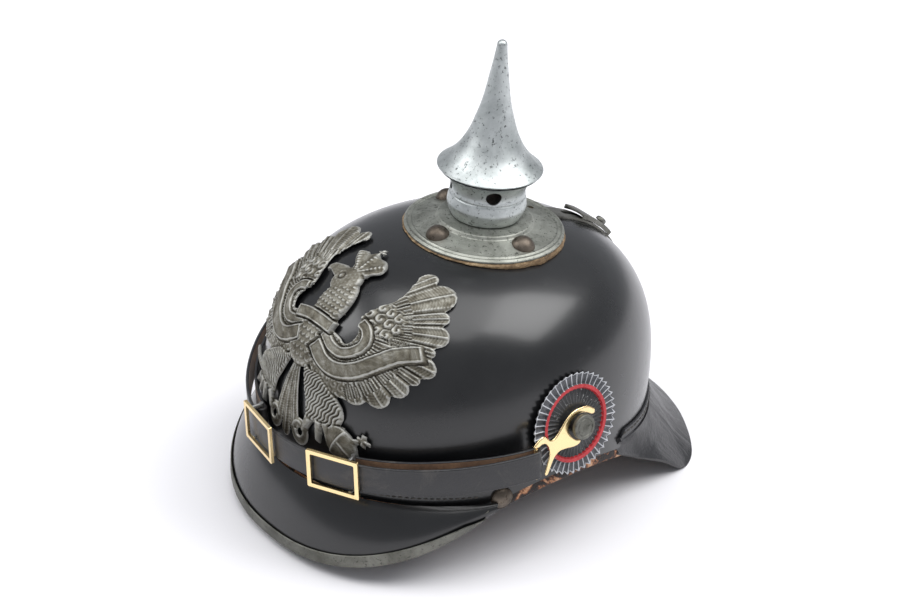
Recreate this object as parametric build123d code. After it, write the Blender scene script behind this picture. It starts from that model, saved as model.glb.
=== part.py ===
from build123d import *
import os
from math import atan2, cos, degrees, hypot, pi, radians, sin, tan

os.makedirs("parts", exist_ok=True)

# Leather spiked helmet, modelled upright about its own skull. Lengths are in millimetres.
# The skull's widest plane is z = 0, the front is -Y and the wearer's left is +X.
# At the end every piece is leaned back and set down as the helmet stands on a table.

# Skull: a superelliptic leather dome
skull_half_width = 91.3
skull_half_length = 110.2
skull_height = 90.8
skull_wall = 3.0
dome_power = 2.8
fit_gap = 0.15
overrun = 60.0
profile_steps = 18

# Lower edge of the skull, arched up above each ear
rim_drop = 21.5
rim_arch_rise = 11.5
rim_arch_front = -42.0
rim_arch_rear = 54.0
rim_arch_middle = 6.0
binding_height = 3.6

# Standing pose
lean_angle = 4.5

# Front visor: edge outline seen from above, in a plane that slopes down to the front
visor_half_width = 86.3
visor_reach = 83.4
visor_centre_y = -36.1
visor_edge_power = 2.32
visor_tip_drop = 55.2
visor_slope = 0.47
visor_wall = 2.6
visor_bulge = 3.2
visor_seam_drop = 16.0
visor_seam_rise = 2.4
visor_seam_angle = 68.0
visor_edge_end = 86.0
visor_sections = 13

# Metal strip folded over the visor edge
trim_wall = 0.9
trim_depth = 6.2
trim_edge_end = 83.0
trim_stud_radius = 6.0
trim_stud_height = 4.2
trim_stud_y = -38.6
trim_stud_drop = 13.0
trim_stud_shank_radius = 1.6
trim_stud_shank_length = 3.1
trim_stud_hole_length = 24.0

# Neck guard: seam angles around the skull and points along its free edge
guard_wall = 2.6
guard_bulge = -2.0
guard_seam_drop = 9.2
guard_seam_rise = 4.6
guard_corner_x = 84.0
guard_corner_y = 93.0
guard_rear_y = 142.0
guard_start_x = 86.5
guard_start_y = 41.0
guard_start_drop = 12.5
guard_seam_angles = (111.0, 119.0, 128.0, 138.0, 150.0, 165.0, 180.0)
guard_edge_out_shares = (1.0, 0.965, 0.975, 0.975, 0.80, 0.42, 0.0)
guard_edge_back_shares = (0.0, 0.16, 0.37, 0.58, 0.75, 0.93, 1.0)
guard_edge_down_shares = (0.0, 0.27, 0.56, 1.0, 1.0, 1.0, 1.0)
guard_flange_height = 5.5
guard_flange_wall = 1.6
flange_front_y = 41.0
flange_middle_y = 72.0

# Spike base: leather gasket, dished plate, studs and bayonet socket on the spike's axis
spike_y = 8.0
plate_radius = 41.8
plate_rim_z = 91.4
plate_wall = 1.0
plate_ring_radii = (38.3, 40.6)
plate_ring_height = 0.6
plate_ring_half_width = 0.8
plate_shoulder_radius = 24.6
plate_shoulder_z = 95.4
plate_step_rise = 1.6
plate_collar_radius = 19.2
plate_collar_z = 98.2
plate_hole_radius = 15.0
gasket_radius = 43.0
gasket_hole_radius = 25.6
skull_hole_radius = 18.5
stud_circle_radius = 31.2
stud_radius = 6.1
stud_height = 4.6
stud_angles = (-90.0, 0.0, 180.0)
bare_hole_angle = 90.0
shank_radius = 1.7
shank_length = 13.0
washer_radius = 36.0
washer_wall = 1.2
washer_drop = 0.9
socket_radius = 14.6
socket_wall = 1.6
socket_top_z = 108.0
socket_flange_radius = 18.0
bayonet_lugs = 3
bayonet_turn = 45.0
lug_reach = 1.3
lug_height = 2.4
lug_angle = 22.0
lug_gap_angle = 32.0

# Spike: collar, ventilated neck and hollow cone
collar_bottom_z = 98.6
collar_radius = 18.1
collar_bulge_radius = 20.6
collar_bulge_z = 106.1
neck_groove_z = 110.7
neck_groove_radius = 19.8
neck_waist_z = 116.6
neck_waist_radius = 19.6
flare_z = 126.0
flare_radius = 26.9
spike_tip_z = 194.8
spike_tip_radius = 2.6
spike_wall = 1.1
vent_radius = 4.0
vent_z = 116.3
vent_first_angle = -31.6
vent_count = 4
cone_drop_shares = (0.107, 0.297, 0.487, 0.675, 0.769, 0.863, 0.939, 1.0)
cone_radius_shares = (0.119, 0.193, 0.279, 0.42, 0.517, 0.655, 0.82, 1.0)
bayonet_ring_height = 3.2
bayonet_ring_lift = 1.2
rolled_edge = 0.9

# Rear spine with its ventilation seat, slot, sliding cover and knob; angles are seen from the dome's centre
spine_width = 13.0
spine_wall = 1.3
spine_gap = 0.8
spine_foot_z = -2.4
seat_lift = 2.6
seat_low_angle = 36.0
seat_high_angle = 62.0
slot_width = 3.8
slot_low_angle = 50.0
slot_high_angle = 59.0
cover_low_angle = 41.5
cover_high_angle = 54.5
cover_wall = 0.9
cover_gap = 0.35
cover_lip = 1.1
cover_turn = 6.0
knob_radius = 3.0
knob_stem_radius = 1.5
knob_height = 3.2
knob_stem_height = 1.2
knob_angle = 43.5
spine_rivet_radius = 2.4
spine_rivet_height = 1.1
spine_rivet_z = 8.0

# Side posts, cockades and the nuts inside; heights are above the skull along the post
post_y = -0.4
post_z = 22.4
post_tilt = 10.8
post_stem_radius = 2.6
post_stem_depth = 8.0
post_neck_radius = 4.5
post_neck_base = 2.4
post_head_radius = 6.6
post_head_base = 7.3
post_head_top = 9.8
post_dimple_radius = 2.2
post_dimple_depth = 0.7
nut_radius = 5.5
nut_height = 1.8
nut_gap = 1.0
cockade_radius = 27.4
cockade_notch = 1.5
cockade_pleats = 44
cockade_lift = 1.1
cockade_wall = 1.0
cockade_ring_radius = 19.6
cockade_ring_width = 2.8
cockade_ring_height = 0.7
cockade_hole_radius = 3.0

# Chin strap, its hooks and buckles
strap_height = 16.2
strap_wall = 1.6
strap_reach = 119.9
strap_slope = 7.4
strap_bow = 2.4
strap_gap = 0.15
strap_tuck = 3.5
strap_tuck_angle = -42.0
strap_tuck_spread = 40.0
strap_turn = 70.0
strap_steps = 12
bar_radius = 1.1
bar_foot_radius = 1.0
bar_forward = 20.2
bar_down = 11.6
bar_out = 6.9
hook_wall = 1.4
hook_base = 4.3
hook_ring_radius = 5.7
hook_arm_width = 2.6
hook_arm_start = 62.0
hook_arm_end = 236.0
hook_bridge_width = 5.0
claw_width = 2.8
claw_gap = 0.7
throat_share = 0.75
buckle_length = 29.0
buckle_height = 22.6
buckle_rail = 2.2
buckle_wall = 1.5
buckle_gap = 0.25
buckle_bar_inset = 5.5
buckle_left_angle = 22.3
buckle_right_angle = -7.0

# Eagle plate, drawn on a plane that faces the front of the dome; shares are of its half span and height
eagle_tilt = 37.6
eagle_y = -107.1
eagle_z = 10.2
eagle_half_span = 62.5
eagle_height = 100.0
eagle_depth = 45.0
eagle_gap = 0.9
eagle_wall = 1.1
rib_relief = 1.9
orb_relief = 1.9
ribbon_relief = 2.7
body_relief = 3.4
wing_inner_shares = ((0.08, 0.50), (0.25, 0.492), (0.345, 0.478), (0.388, 0.54), (0.325, 0.63), (0.363, 0.712),
                     (0.428, 0.80), (0.397, 0.902), (0.36, 0.955))
wing_feather_shares = ((0.36, 0.955), (0.43, 0.998), (0.506, 0.955), (0.64, 0.985), (0.735, 0.87), (0.80, 0.865),
                       (0.80, 0.805), (0.895, 0.79), (0.865, 0.695), (0.915, 0.675), (0.90, 0.645), (0.985, 0.602),
                       (0.92, 0.54), (0.935, 0.51), (0.88, 0.485), (0.895, 0.42), (0.81, 0.39), (0.79, 0.31),
                       (0.675, 0.298), (0.635, 0.26), (0.54, 0.245))
wing_low_shares = ((0.54, 0.245), (0.39, 0.232), (0.19, 0.263), (0.08, 0.32))
rib_centre_share = (0.40, 0.62)
rib_start_share = 0.46
rib_end_share = 0.90
rib_width = 2.6
rib_tip_width = 5.0
tail_root_share = (0.0, 0.32)
tail_spread = 56.0
tail_length = 36.0
tail_tip_width = 8.6
tail_feathers = 5
body_centre_share = (0.0, 0.43)
body_half_width = 13.0
body_half_height = 19.0
neck_centre_share = (-0.03, 0.62)
neck_half_width = 10.6
neck_half_height = 16.0
head_share = (-0.06, 0.745)
head_radius = 8.4
beak_shares = ((-0.06, 0.80), (-0.33, 0.775), (-0.30, 0.72), (-0.20, 0.725), (-0.06, 0.70))
crown_shares = ((-0.14, 0.79), (-0.21, 0.85), (-0.18, 0.90), (-0.12, 0.89), (-0.07, 0.93), (-0.03, 0.895),
                (0.05, 0.915), (0.095, 0.88), (0.045, 0.79))
crown_cross_share = (-0.07, 0.955)
cross_size = 6.4
cross_arm = 2.2
leg_root_share = (0.10, 0.34)
leg_tip_share = (0.45, 0.08)
leg_width = 17.0
orb_share = (0.56, 0.045)
orb_radius = 7.4
orb_cross_share = (0.685, 0.11)
sceptre_root_share = (-0.40, 0.10)
sceptre_tip_share = (-0.86, 0.17)
sceptre_width = 4.0
ribbon_shares = ((-0.86, 0.61), (-0.68, 0.55), (-0.48, 0.39), (-0.25, 0.42), (-0.09, 0.51), (0.09, 0.51),
                 (0.25, 0.42), (0.48, 0.39), (0.68, 0.55), (0.86, 0.61))
ribbon_width = 8.4
ribbon_steps = 16
patch_span_share = 1.06
patch_low_share = -0.14
patch_high_share = 1.06
patch_steps = 14
search_steps = 40
lug_share = (0.54, 0.62)
lug_width = 6.4
lug_wall = 1.6
lug_length = 13.6
lug_eye_width = 2.6
lug_eye_centre = 10.2
pin_width = 4.0
pin_thickness = 2.2
pin_length = 18.0

# Liner: a sweatband at the rim and leather tongues with lace holes, under a lower crown
band_wall = 1.6
band_top_z = 15.0
band_gap = 0.3
tongue_count = 10
tongue_wall = 1.2
tongue_gap = 0.3
tongue_width = 42.0
tongue_tip_width = 14.0
tongue_foot_z = 6.0
tongue_tip_z = 60.0
crown_space = 22.0
lace_hole_radius = 2.0


def dome_point(turn, level, out=0):
    """A point on the dome, offset outwards: turn is measured from the front, level is its height."""
    half_width = skull_half_width + out
    half_length = skull_half_length + out
    top = skull_height + out
    spread = (1 - abs(level / top) ** dome_power) ** (1 / dome_power)
    angle = radians(turn)
    return Vector(half_width * spread * sin(angle), -half_length * spread * cos(angle), level)


def rear_point(angle, out=0):
    """A point of the dome's rear centre line, at an angle above the widest plane."""
    slope = radians(angle)
    size = (abs(cos(slope)) ** dome_power + abs(sin(slope)) ** dome_power) ** (1 / dome_power)
    return Vector(0, (skull_half_length + out) * cos(slope) / size, (skull_height + out) * sin(slope) / size)


def dome_solid(width, length, top):
    """A closed superelliptic solid with these half axes."""
    points = []
    for step in range(profile_steps + 1):
        angle = radians(180 * step / profile_steps - 90)
        size = (abs(cos(angle)) ** dome_power + abs(sin(angle)) ** dome_power) ** (1 / dome_power)
        points.append((width * cos(angle) / size, top * sin(angle) / size))
    points[0] = (0, -top)
    points[-1] = (0, top)
    outline = Spline(points, tangents=((1, 0), (-1, 0))) + Line(points[-1], points[0])
    body = revolve(Plane.XZ * make_face(outline), Axis.Z)
    return scale(body, by=(1, length / width, 1))


def dome(out):
    """The skull's outer solid, grown outwards by out."""
    return dome_solid(skull_half_width + out, skull_half_length + out, skull_height + out)


def shell_part(prism, low, high):
    """The part of a prism that lies between two offsets of the dome."""
    return (prism & dome(high)) - dome(low)


def below_rim(drop):
    """Everything under the arched lower edge, lowered by drop."""
    low = -rim_drop - drop
    far = skull_half_length + overrun
    edge = Polyline((-far, low), (rim_arch_front, low))
    edge += ThreePointArc((rim_arch_front, low), (rim_arch_middle, low + rim_arch_rise), (rim_arch_rear, low))
    edge += Polyline((rim_arch_rear, low), (far, low), (far, low - far), (-far, low - far), (-far, low))
    return extrude(Plane.YZ * make_face(edge), amount=far, both=True)


def in_halves(item):
    """A closed band made of a left and a right strip, with a fine joint at the front and the rear."""
    far = 2 * skull_half_length
    right = Pos(far / 2 + fit_gap / 2, 0, 0) * Box(far, 2 * far, 2 * far)
    return Compound([item & right, item & mirrored(right)])


def on_spike_axis(item):
    """Move something modelled about the Z axis onto the spike's axis."""
    return Pos(0, spike_y, 0) * item


def ring(radius, hole, low, high):
    """A flat ring about the Z axis."""
    return Pos(0, 0, low) * extrude(Circle(radius) - Circle(hole), amount=high - low)


def section_face(top, bottom, wall, bulge):
    """A curved strip section from top to bottom, its outer side away from the Z axis."""
    along = (bottom - top).normalized()
    radial = Vector(top.X + bottom.X, top.Y + bottom.Y, 0).normalized()
    normal = (radial - along * radial.dot(along)).normalized()
    middle = (top + bottom) * 0.5 + normal * bulge
    back = normal * -wall
    outer = Edge.make_three_point_arc(top, middle, bottom)
    inner = Edge.make_three_point_arc(bottom + back, middle + back, top + back)
    low = Edge.make_line(bottom, bottom + back)
    high = Edge.make_line(top + back, top)
    return Face(Wire([outer, low, inner, high]))


def visor_edge(angle):
    """A point of the front visor's free edge; angle 0 is the tip."""
    side = sin(radians(angle))
    ahead = cos(radians(angle))
    x = visor_half_width * abs(side) ** (2 / visor_edge_power) * (1 if side >= 0 else -1)
    y = visor_centre_y - visor_reach * abs(ahead) ** (2 / visor_edge_power)
    tip = visor_centre_y - visor_reach
    return Vector(x, y, -visor_tip_drop + visor_slope * (y - tip))


def visor_seam(angle):
    """The visor's seam on the skull that belongs to an edge angle."""
    turn = angle * visor_seam_angle / visor_edge_end
    level = -visor_seam_drop + visor_seam_rise * abs(angle / visor_edge_end)
    return dome_point(turn, level, visor_wall)


def spread_angles(limit, count):
    """Evenly spread angles from -limit to limit."""
    return [limit * (2 * step / (count - 1) - 1) for step in range(count)]


def front_visor():
    faces = []
    for angle in spread_angles(visor_edge_end, visor_sections):
        faces.append(section_face(visor_seam(angle), visor_edge(angle), visor_wall, visor_bulge))
    return loft(faces) - dome(fit_gap)


def visor_trim(visor):
    """A folded strip over the visor's edge, open towards the seam."""
    faces = []
    for angle in spread_angles(trim_edge_end, visor_sections):
        bottom = visor_edge(angle)
        top = visor_seam(angle)
        chord = bottom - top
        radial = Vector(top.X + bottom.X, top.Y + bottom.Y, 0).normalized()
        along = chord.normalized()
        normal = (radial - along * radial.dot(along)).normalized()
        bend = 4 * visor_bulge / chord.length
        along = (along - normal * bend).normalized()
        normal = (radial - along * radial.dot(along)).normalized()
        low = bottom + along * trim_wall
        high = bottom - along * trim_depth
        out = normal * trim_wall
        back = normal * -(visor_wall + trim_wall)
        points = [high + out, bottom + out, low, low - normal * visor_wall, bottom + back, high + back]
        faces.append(Face(Wire.make_polygon(points, close=True)))
    return loft(faces) - visor - dome(fit_gap)


def guard_edge_points(ground):
    """Seam and edge points of the neck guard's left half, front to rear; ground gives the floor's height."""
    pairs = []
    for turn, out, back, down in zip(guard_seam_angles, guard_edge_out_shares,
                                     guard_edge_back_shares, guard_edge_down_shares):
        y = guard_start_y + (guard_rear_y - guard_start_y) * back
        start = -guard_start_drop
        low = start + (ground(y) - start) * down
        edge = Vector(guard_start_x * out if down < 1 else guard_corner_x * out, y, low)
        level = -guard_seam_drop + guard_seam_rise * (1 - back) ** 3
        pairs.append((dome_point(turn, level, guard_wall), edge))
    return pairs


def neck_guard(ground):
    left = guard_edge_points(ground)
    pairs = left + [(Vector(-top.X, top.Y, top.Z), Vector(-low.X, low.Y, low.Z)) for top, low in left[-2::-1]]
    faces = [section_face(top, low, guard_wall, guard_bulge) for top, low in pairs]
    return loft(faces) - dome(fit_gap)


def guard_flange():
    """The guard's upturned, stitched flange on the skull, higher at its front ends."""
    foot = -guard_seam_drop + fit_gap
    rear = 2 * skull_half_length
    low = [(flange_front_y, foot + guard_seam_rise), (flange_middle_y, foot + guard_seam_rise / 4), (rear, foot)]
    high = [(y, z + guard_flange_height) for y, z in low]
    prism = extrude(Plane.YZ * make_face(Polyline(low + high[::-1], close=True)), amount=rear, both=True)
    return (dome(guard_flange_wall) - dome(fit_gap)) & prism


def plate_height(radius):
    """Height of the base plate's top between its shoulder and its rim."""
    fall = (plate_shoulder_z - plate_rim_z) / (plate_radius - plate_shoulder_radius)
    return plate_shoulder_z - (radius - plate_shoulder_radius) * fall


def polar(radius, angle, level=0):
    """A place about the spike's axis."""
    return Pos(radius * cos(radians(angle)), spike_y + radius * sin(radians(angle)), level)


def shanks(gap, angles):
    """The plate studs' shanks, or with a gap the holes for them."""
    bar = disc(shank_radius + gap, -shank_length, stud_height / 2)
    return Compound([polar(stud_circle_radius, angle, plate_height(stud_circle_radius)) * bar for angle in angles])


def base_plate():
    """A dished plate with a stepped shoulder and two fine raised rings."""
    top = [(plate_hole_radius, plate_collar_z), (plate_collar_radius, plate_collar_z),
           (plate_shoulder_radius, plate_shoulder_z + plate_step_rise),
           (plate_shoulder_radius + plate_wall, plate_height(plate_shoulder_radius + plate_wall))]
    for radius in plate_ring_radii:
        top.append((radius - plate_ring_half_width, plate_height(radius - plate_ring_half_width)))
        top.append((radius, plate_height(radius) + plate_ring_height))
        top.append((radius + plate_ring_half_width, plate_height(radius + plate_ring_half_width)))
    top.append((plate_radius, plate_rim_z))
    low = [(plate_radius, plate_rim_z - plate_wall), (plate_shoulder_radius, plate_shoulder_z - plate_wall),
           (plate_shoulder_radius - plate_wall, plate_shoulder_z + plate_step_rise - plate_wall),
           (plate_collar_radius - plate_wall, plate_collar_z - plate_wall),
           (plate_hole_radius, plate_collar_z - plate_wall)]
    body = revolve(Plane.XZ * make_face(Polyline(top + low, close=True)), Axis.Z)
    return on_spike_axis(body) - shanks(fit_gap, stud_angles) - shanks(fit_gap, [bare_hole_angle])


def base_gasket():
    """A leather washer that fills the space between the dome and the plate's cone."""
    under = plate_wall + fit_gap
    outline = Polyline((gasket_hole_radius, 0), (gasket_radius, 0),
                       (gasket_radius, plate_height(gasket_radius) - under),
                       (gasket_hole_radius, plate_height(gasket_hole_radius) - under), close=True)
    body = in_halves(on_spike_axis(revolve(Plane.XZ * make_face(outline), Axis.Z)) - dome(fit_gap))
    return body - shanks(fit_gap, stud_angles) - shanks(fit_gap, [bare_hole_angle])


def base_studs():
    """Domed stud heads square on the plate's cone, their shanks down through plate, gasket and skull."""
    ball = (stud_radius ** 2 + stud_height ** 2) / (2 * stud_height)
    cap = Pos(0, 0, stud_height - ball) * Sphere(ball) & Pos(0, 0, ball) * Box(2 * ball, 2 * ball, 2 * ball)
    fall = (plate_shoulder_z - plate_rim_z) / (plate_radius - plate_shoulder_radius)
    studs = []
    for angle in stud_angles:
        foot = polar(stud_circle_radius, angle, plate_height(stud_circle_radius))
        head = foot * Rot(Z=angle) * Rot(Y=degrees(atan2(fall, 1))) * cap
        shank = foot * disc(shank_radius, -shank_length, stud_height / 2)
        studs.append(head + shank)
    return Compound(studs)


def inner_washer():
    """A flat steel ring inside the crown that takes the studs' shanks."""
    edge = (spike_y + washer_radius) / (skull_half_length - skull_wall)
    crown = (skull_height - skull_wall) * (1 - edge ** dome_power) ** (1 / dome_power)
    top = crown - washer_drop
    body = ring(washer_radius, skull_hole_radius, top - washer_wall, top)
    return on_spike_axis(body) - shanks(fit_gap, stud_angles)


def spike_socket():
    """A flanged tube with bayonet lugs that stands in the plate's hole."""
    flange_top = plate_collar_z - plate_wall - fit_gap
    flange = ring(socket_flange_radius, socket_radius - socket_wall, flange_top - socket_wall, flange_top)
    tube = ring(socket_radius, socket_radius - socket_wall, flange_top - socket_wall, socket_top_z)
    low = collar_bottom_z + bayonet_ring_lift + bayonet_ring_height + fit_gap
    lug = ring(socket_radius + lug_reach, socket_radius - socket_wall / 2, low, low + lug_height)
    body = flange + tube
    for step in range(bayonet_lugs):
        body += lug & sector(step * 360 / bayonet_lugs, lug_angle)
    return on_spike_axis(body)


def sector(middle, spread):
    """A tall wedge about the Z axis, from the axis outwards."""
    first = radians(middle - spread / 2)
    last = radians(middle + spread / 2)
    far = skull_half_length
    outline = Polyline((0, 0), (far * cos(first), far * sin(first)), (far * cos(last), far * sin(last)), close=True)
    return extrude(make_face(outline), amount=2 * spike_tip_z)


def bayonet_ring():
    """The notched ring inside the collar that turns under the socket's lugs."""
    low = collar_bottom_z + bayonet_ring_lift
    high = low + bayonet_ring_height
    body = ring(collar_radius - spike_wall - fit_gap, socket_radius + 2 * fit_gap, low, high)
    notch = ring(socket_radius + lug_reach + 2 * fit_gap, socket_radius, low, high)
    for step in range(bayonet_lugs):
        body -= notch & sector(step * 360 / bayonet_lugs + bayonet_turn, lug_gap_angle)
    return on_spike_axis(body)


def spike_neck():
    """The turned collar and waisted neck, with vent holes all round."""
    top = flare_z - 2 * spike_wall - fit_gap
    outer = [(collar_radius, collar_bottom_z), (collar_bulge_radius, collar_bulge_z),
             (neck_groove_radius, neck_groove_z), (neck_waist_radius, neck_waist_z),
             (flare_radius - rolled_edge, top)]
    inner = [(radius - spike_wall, level) for radius, level in reversed(outer)]
    outline = Spline(outer) + Line(outer[-1], inner[0]) + Spline(inner) + Line(inner[-1], outer[0])
    body = revolve(Plane.XZ * make_face(outline), Axis.Z)
    for step in range(vent_count):
        turn = vent_first_angle + step * 360 / vent_count - 90
        drill = Pos(0, 0, vent_z) * Rot(0, 0, turn) * Rot(0, 90, 0)
        body -= drill * Pos(0, 0, flare_radius) * Cylinder(vent_radius, 2 * flare_radius - spike_wall)
    return on_spike_axis(body)


def spike_cone():
    """A hollow cone that sweeps out to a rolled edge."""
    length = spike_tip_z - flare_z
    shoulder = (spike_tip_radius, spike_tip_z - spike_tip_radius)
    outer = [(flare_radius * size, spike_tip_z - length * drop)
             for size, drop in zip(cone_radius_shares, cone_drop_shares)]
    inner = [(radius - spike_wall, level - spike_wall) for radius, level in reversed(outer[1:])]
    top = (0, inner[-1][1] + spike_wall)
    tip = ThreePointArc((0, spike_tip_z), (spike_tip_radius * sin(pi / 4), shoulder[1]
                        + spike_tip_radius * cos(pi / 4)), shoulder)
    outline = tip + Spline([shoulder] + outer)
    outline += ThreePointArc(outer[-1], (flare_radius + rolled_edge / 2, flare_z - rolled_edge / 2),
                             (flare_radius, flare_z - rolled_edge))
    outline += Line((flare_radius, flare_z - rolled_edge), inner[0])
    outline += Spline(inner)
    outline += Polyline(inner[-1], top, (0, spike_tip_z))
    body = revolve(Plane.XZ * make_face(outline), Axis.Z)
    return on_spike_axis(body)


def circle_through(first, middle, last):
    """Centre and radius of the circle through three (y, z) places."""
    (ay, az), (by, bz), (cy, cz) = first, middle, last
    double = 2 * (ay * (bz - cz) + by * (cz - az) + cy * (az - bz))
    first_square = ay ** 2 + az ** 2
    middle_square = by ** 2 + bz ** 2
    last_square = cy ** 2 + cz ** 2
    y = (first_square * (bz - cz) + middle_square * (cz - az) + last_square * (az - bz)) / double
    z = (first_square * (cy - by) + middle_square * (ay - cy) + last_square * (by - ay)) / double
    return y, z, hypot(ay - y, az - z)


def rear_place(angle, out=0):
    point = rear_point(angle, out)
    return point.Y, point.Z


seat_middle_angle = (seat_low_angle + seat_high_angle) / 2
seat_y, seat_z, seat_radius = circle_through(rear_place(seat_low_angle, spine_wall),
                                             rear_place(seat_middle_angle, seat_lift),
                                             rear_place(seat_high_angle, spine_wall))


def seat_angle(angle):
    """Turn an angle seen from the dome's centre into one seen from the vent seat's own centre."""
    y, z = rear_place(angle, spine_wall)
    return degrees(atan2(z - seat_z, y - seat_y))


def rear_wedge(low, high, width):
    """A slab across the rear centre line between two angles of the vent seat."""
    first = radians(seat_angle(low))
    last = radians(seat_angle(high))
    middle = (first + last) / 2
    far = 2 * seat_radius
    corners = [(0, 0)] + [(far * cos(angle), far * sin(angle)) for angle in (first, middle, last)]
    face = make_face(Polyline(corners, close=True))
    return Pos(0, seat_y, seat_z) * extrude(Plane.YZ * face, amount=width / 2, both=True)


def rear_barrel(radius):
    """A cylinder across the helmet about the vent seat's centre."""
    return Pos(0, seat_y, seat_z) * Rot(0, 90, 0) * Cylinder(radius, 2 * spine_width)


def vent_slot():
    return rear_wedge(slot_low_angle, slot_high_angle, slot_width)


def rear_spine():
    """A metal strip down the rear, raised into a round seat under the ventilation cover."""
    start = spike_y + gasket_radius + spine_gap
    far = skull_half_length + overrun
    strip = Pos(0, (start + far) / 2, spine_foot_z + far / 2) * Box(spine_width, far - start, far)
    body = shell_part(strip, fit_gap, spine_wall)
    seat = rear_wedge(seat_low_angle, seat_high_angle, spine_width) & rear_barrel(seat_radius)
    return body + ((seat & strip) - dome(fit_gap)) - vent_slot()


def vent_cover():
    """A curved cover that slides round the vent seat, with lips down both its sides."""
    wide = spine_width + 2 * (cover_gap + cover_wall)
    outer = rear_barrel(seat_radius + cover_gap + cover_wall)
    arch = (rear_wedge(cover_low_angle, cover_high_angle, wide) & outer) - rear_barrel(seat_radius - cover_lip)
    channel = rear_wedge(seat_low_angle, seat_high_angle, spine_width + 2 * cover_gap)
    return arch - (channel & rear_barrel(seat_radius + cover_gap))


def outward_from_seat(angle, out):
    """A place on the rear centre line whose local Z axis points away from the vent seat's centre."""
    turn = seat_angle(angle)
    return Pos(0, seat_y, seat_z) * Rot(turn - 90, 0, 0) * Pos(0, 0, seat_radius + out)


def cover_knob():
    """A small mushroom knob on the cover."""
    stem = disc(knob_stem_radius, 0, knob_stem_height)
    head = disc(knob_radius, knob_stem_height, knob_height)
    head = fillet(head.edges().group_by(Axis.Z)[-1], (knob_height - knob_stem_height) * 2 / 3)
    return outward_from_seat(knob_angle, cover_gap + cover_wall) * (stem + head)


def spine_rivet():
    """The low domed rivet that holds the foot of the spine."""
    seat = dome_point(180, spine_rivet_z, spine_wall)
    ball = (spine_rivet_radius ** 2 + spine_rivet_height ** 2) / (2 * spine_rivet_height)
    cap = Pos(0, 0, spine_rivet_height - ball) * Sphere(ball) & Pos(0, 0, ball) * Box(2 * ball, 2 * ball, 2 * ball)
    return Pos(0, seat.Y + fit_gap, seat.Z) * Rot(X=-90) * cap


def dome_side_x(y, z):
    """How far the dome's side stands out at a place."""
    spread = (1 - abs(z / skull_height) ** dome_power) ** (1 / dome_power)
    return skull_half_width * (spread ** 2 - (y / skull_half_length) ** 2) ** 0.5


post_x = dome_side_x(post_y, post_z)
post_axis = Vector(cos(radians(post_tilt)), 0, sin(radians(post_tilt)))
post_plane = Plane(origin=(post_x, post_y, post_z), x_dir=(0, 1, 0), z_dir=post_axis)


def on_left_post(item):
    """Place something modelled on the post's axis at the left side."""
    return post_plane.location * item


def mirrored(item):
    """The same thing on the other side of the helmet."""
    return mirror(item, about=Plane.YZ)


def disc(radius, low, high):
    """A solid disc about the Z axis."""
    return Pos(0, 0, (low + high) / 2) * Cylinder(radius, high - low)


def post_hole():
    return on_left_post(disc(post_stem_radius + fit_gap, -2 * post_stem_depth, post_stem_depth))


def side_post():
    """A post with a waisted neck and a round, dimpled head, riveted through the skull."""
    body = disc(post_stem_radius, -post_stem_depth, post_neck_base)
    body += disc(post_neck_radius, post_neck_base, post_head_base)
    body += disc(post_head_radius, post_head_base, post_head_top)
    body = fillet(body.edges().group_by(Axis.Z)[-1], (post_head_top - post_head_base) / 4)
    dimple = Pos(0, 0, post_head_top) * Cone(0, post_dimple_radius, 2 * post_dimple_depth)
    return on_left_post(body - dimple)


def post_nut():
    """The washer that the post's stem is riveted over, inside the skull."""
    top = -skull_wall - nut_gap
    return on_left_post(disc(nut_radius, top - nut_height, top) - disc(post_stem_radius, top - nut_height, top))


def cockade():
    """A pleated disc with a notched edge, a raised ring and a centre hole."""
    corners = []
    for step in range(2 * cockade_pleats):
        radius = cockade_radius - cockade_notch * (step % 2)
        angle = pi * step / cockade_pleats
        corners.append((radius * cos(angle), radius * sin(angle)))
    body = Pos(0, 0, cockade_lift) * extrude(make_face(Polyline(corners, close=True)), amount=cockade_wall)
    top = cockade_lift + cockade_wall
    band = disc(cockade_ring_radius + cockade_ring_width / 2, top, top + cockade_ring_height)
    band -= disc(cockade_ring_radius - cockade_ring_width / 2, top, top + cockade_ring_height)
    hole = disc(cockade_hole_radius, 0, 2 * top)
    return on_left_post(body + band - hole)


# The strap lies in a plane that slopes down to the front and holds the hooks' bars
bar_guess = post_plane.from_local_coords(Vector(-bar_forward, -bar_down, bar_out))
strap_frame = Plane(origin=(0, bar_guess.Y, bar_guess.Z), x_dir=(1, 0, 0),
                    z_dir=(0, -sin(radians(strap_slope)), cos(radians(strap_slope))))
strap_centre_y = -bar_guess.Y / cos(radians(strap_slope))
fold_radius = bar_radius + strap_gap + strap_wall / 2
hook_angle = degrees(pi / 2 - (strap_centre_y / strap_reach))
strap_half_width = (bar_guess.X + fold_radius) / sin(radians(hook_angle))
layer_step = 2 * fold_radius


def strap_point(angle):
    """A place on the middle of the strap's outer layer, seen from above; angle 0 is the front."""
    turn = radians(angle)
    share = min(abs(angle - strap_tuck_angle) / strap_tuck_spread, 1)
    tuck = strap_normal(angle) * (strap_tuck * cos(pi / 2 * share) ** 2)
    return Vector(strap_half_width * sin(turn), strap_centre_y - strap_reach * cos(turn)) - tuck


def strap_normal(angle):
    """The outward direction of the strap at an angle."""
    turn = radians(angle)
    return Vector(strap_reach * sin(turn), -strap_half_width * cos(turn)).normalized()


def strap_along(angle):
    """The direction along the strap towards the wearer's left."""
    normal = strap_normal(angle)
    return Vector(-normal.Y, normal.X)


def in_strap_frame(item):
    return strap_frame.location * item


def angle_beside(angle, distance):
    """The strap angle a short distance along the strap from another."""
    turn = radians(angle)
    speed = hypot(strap_half_width * cos(turn), strap_reach * sin(turn))
    return angle + degrees(distance / speed)


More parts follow.
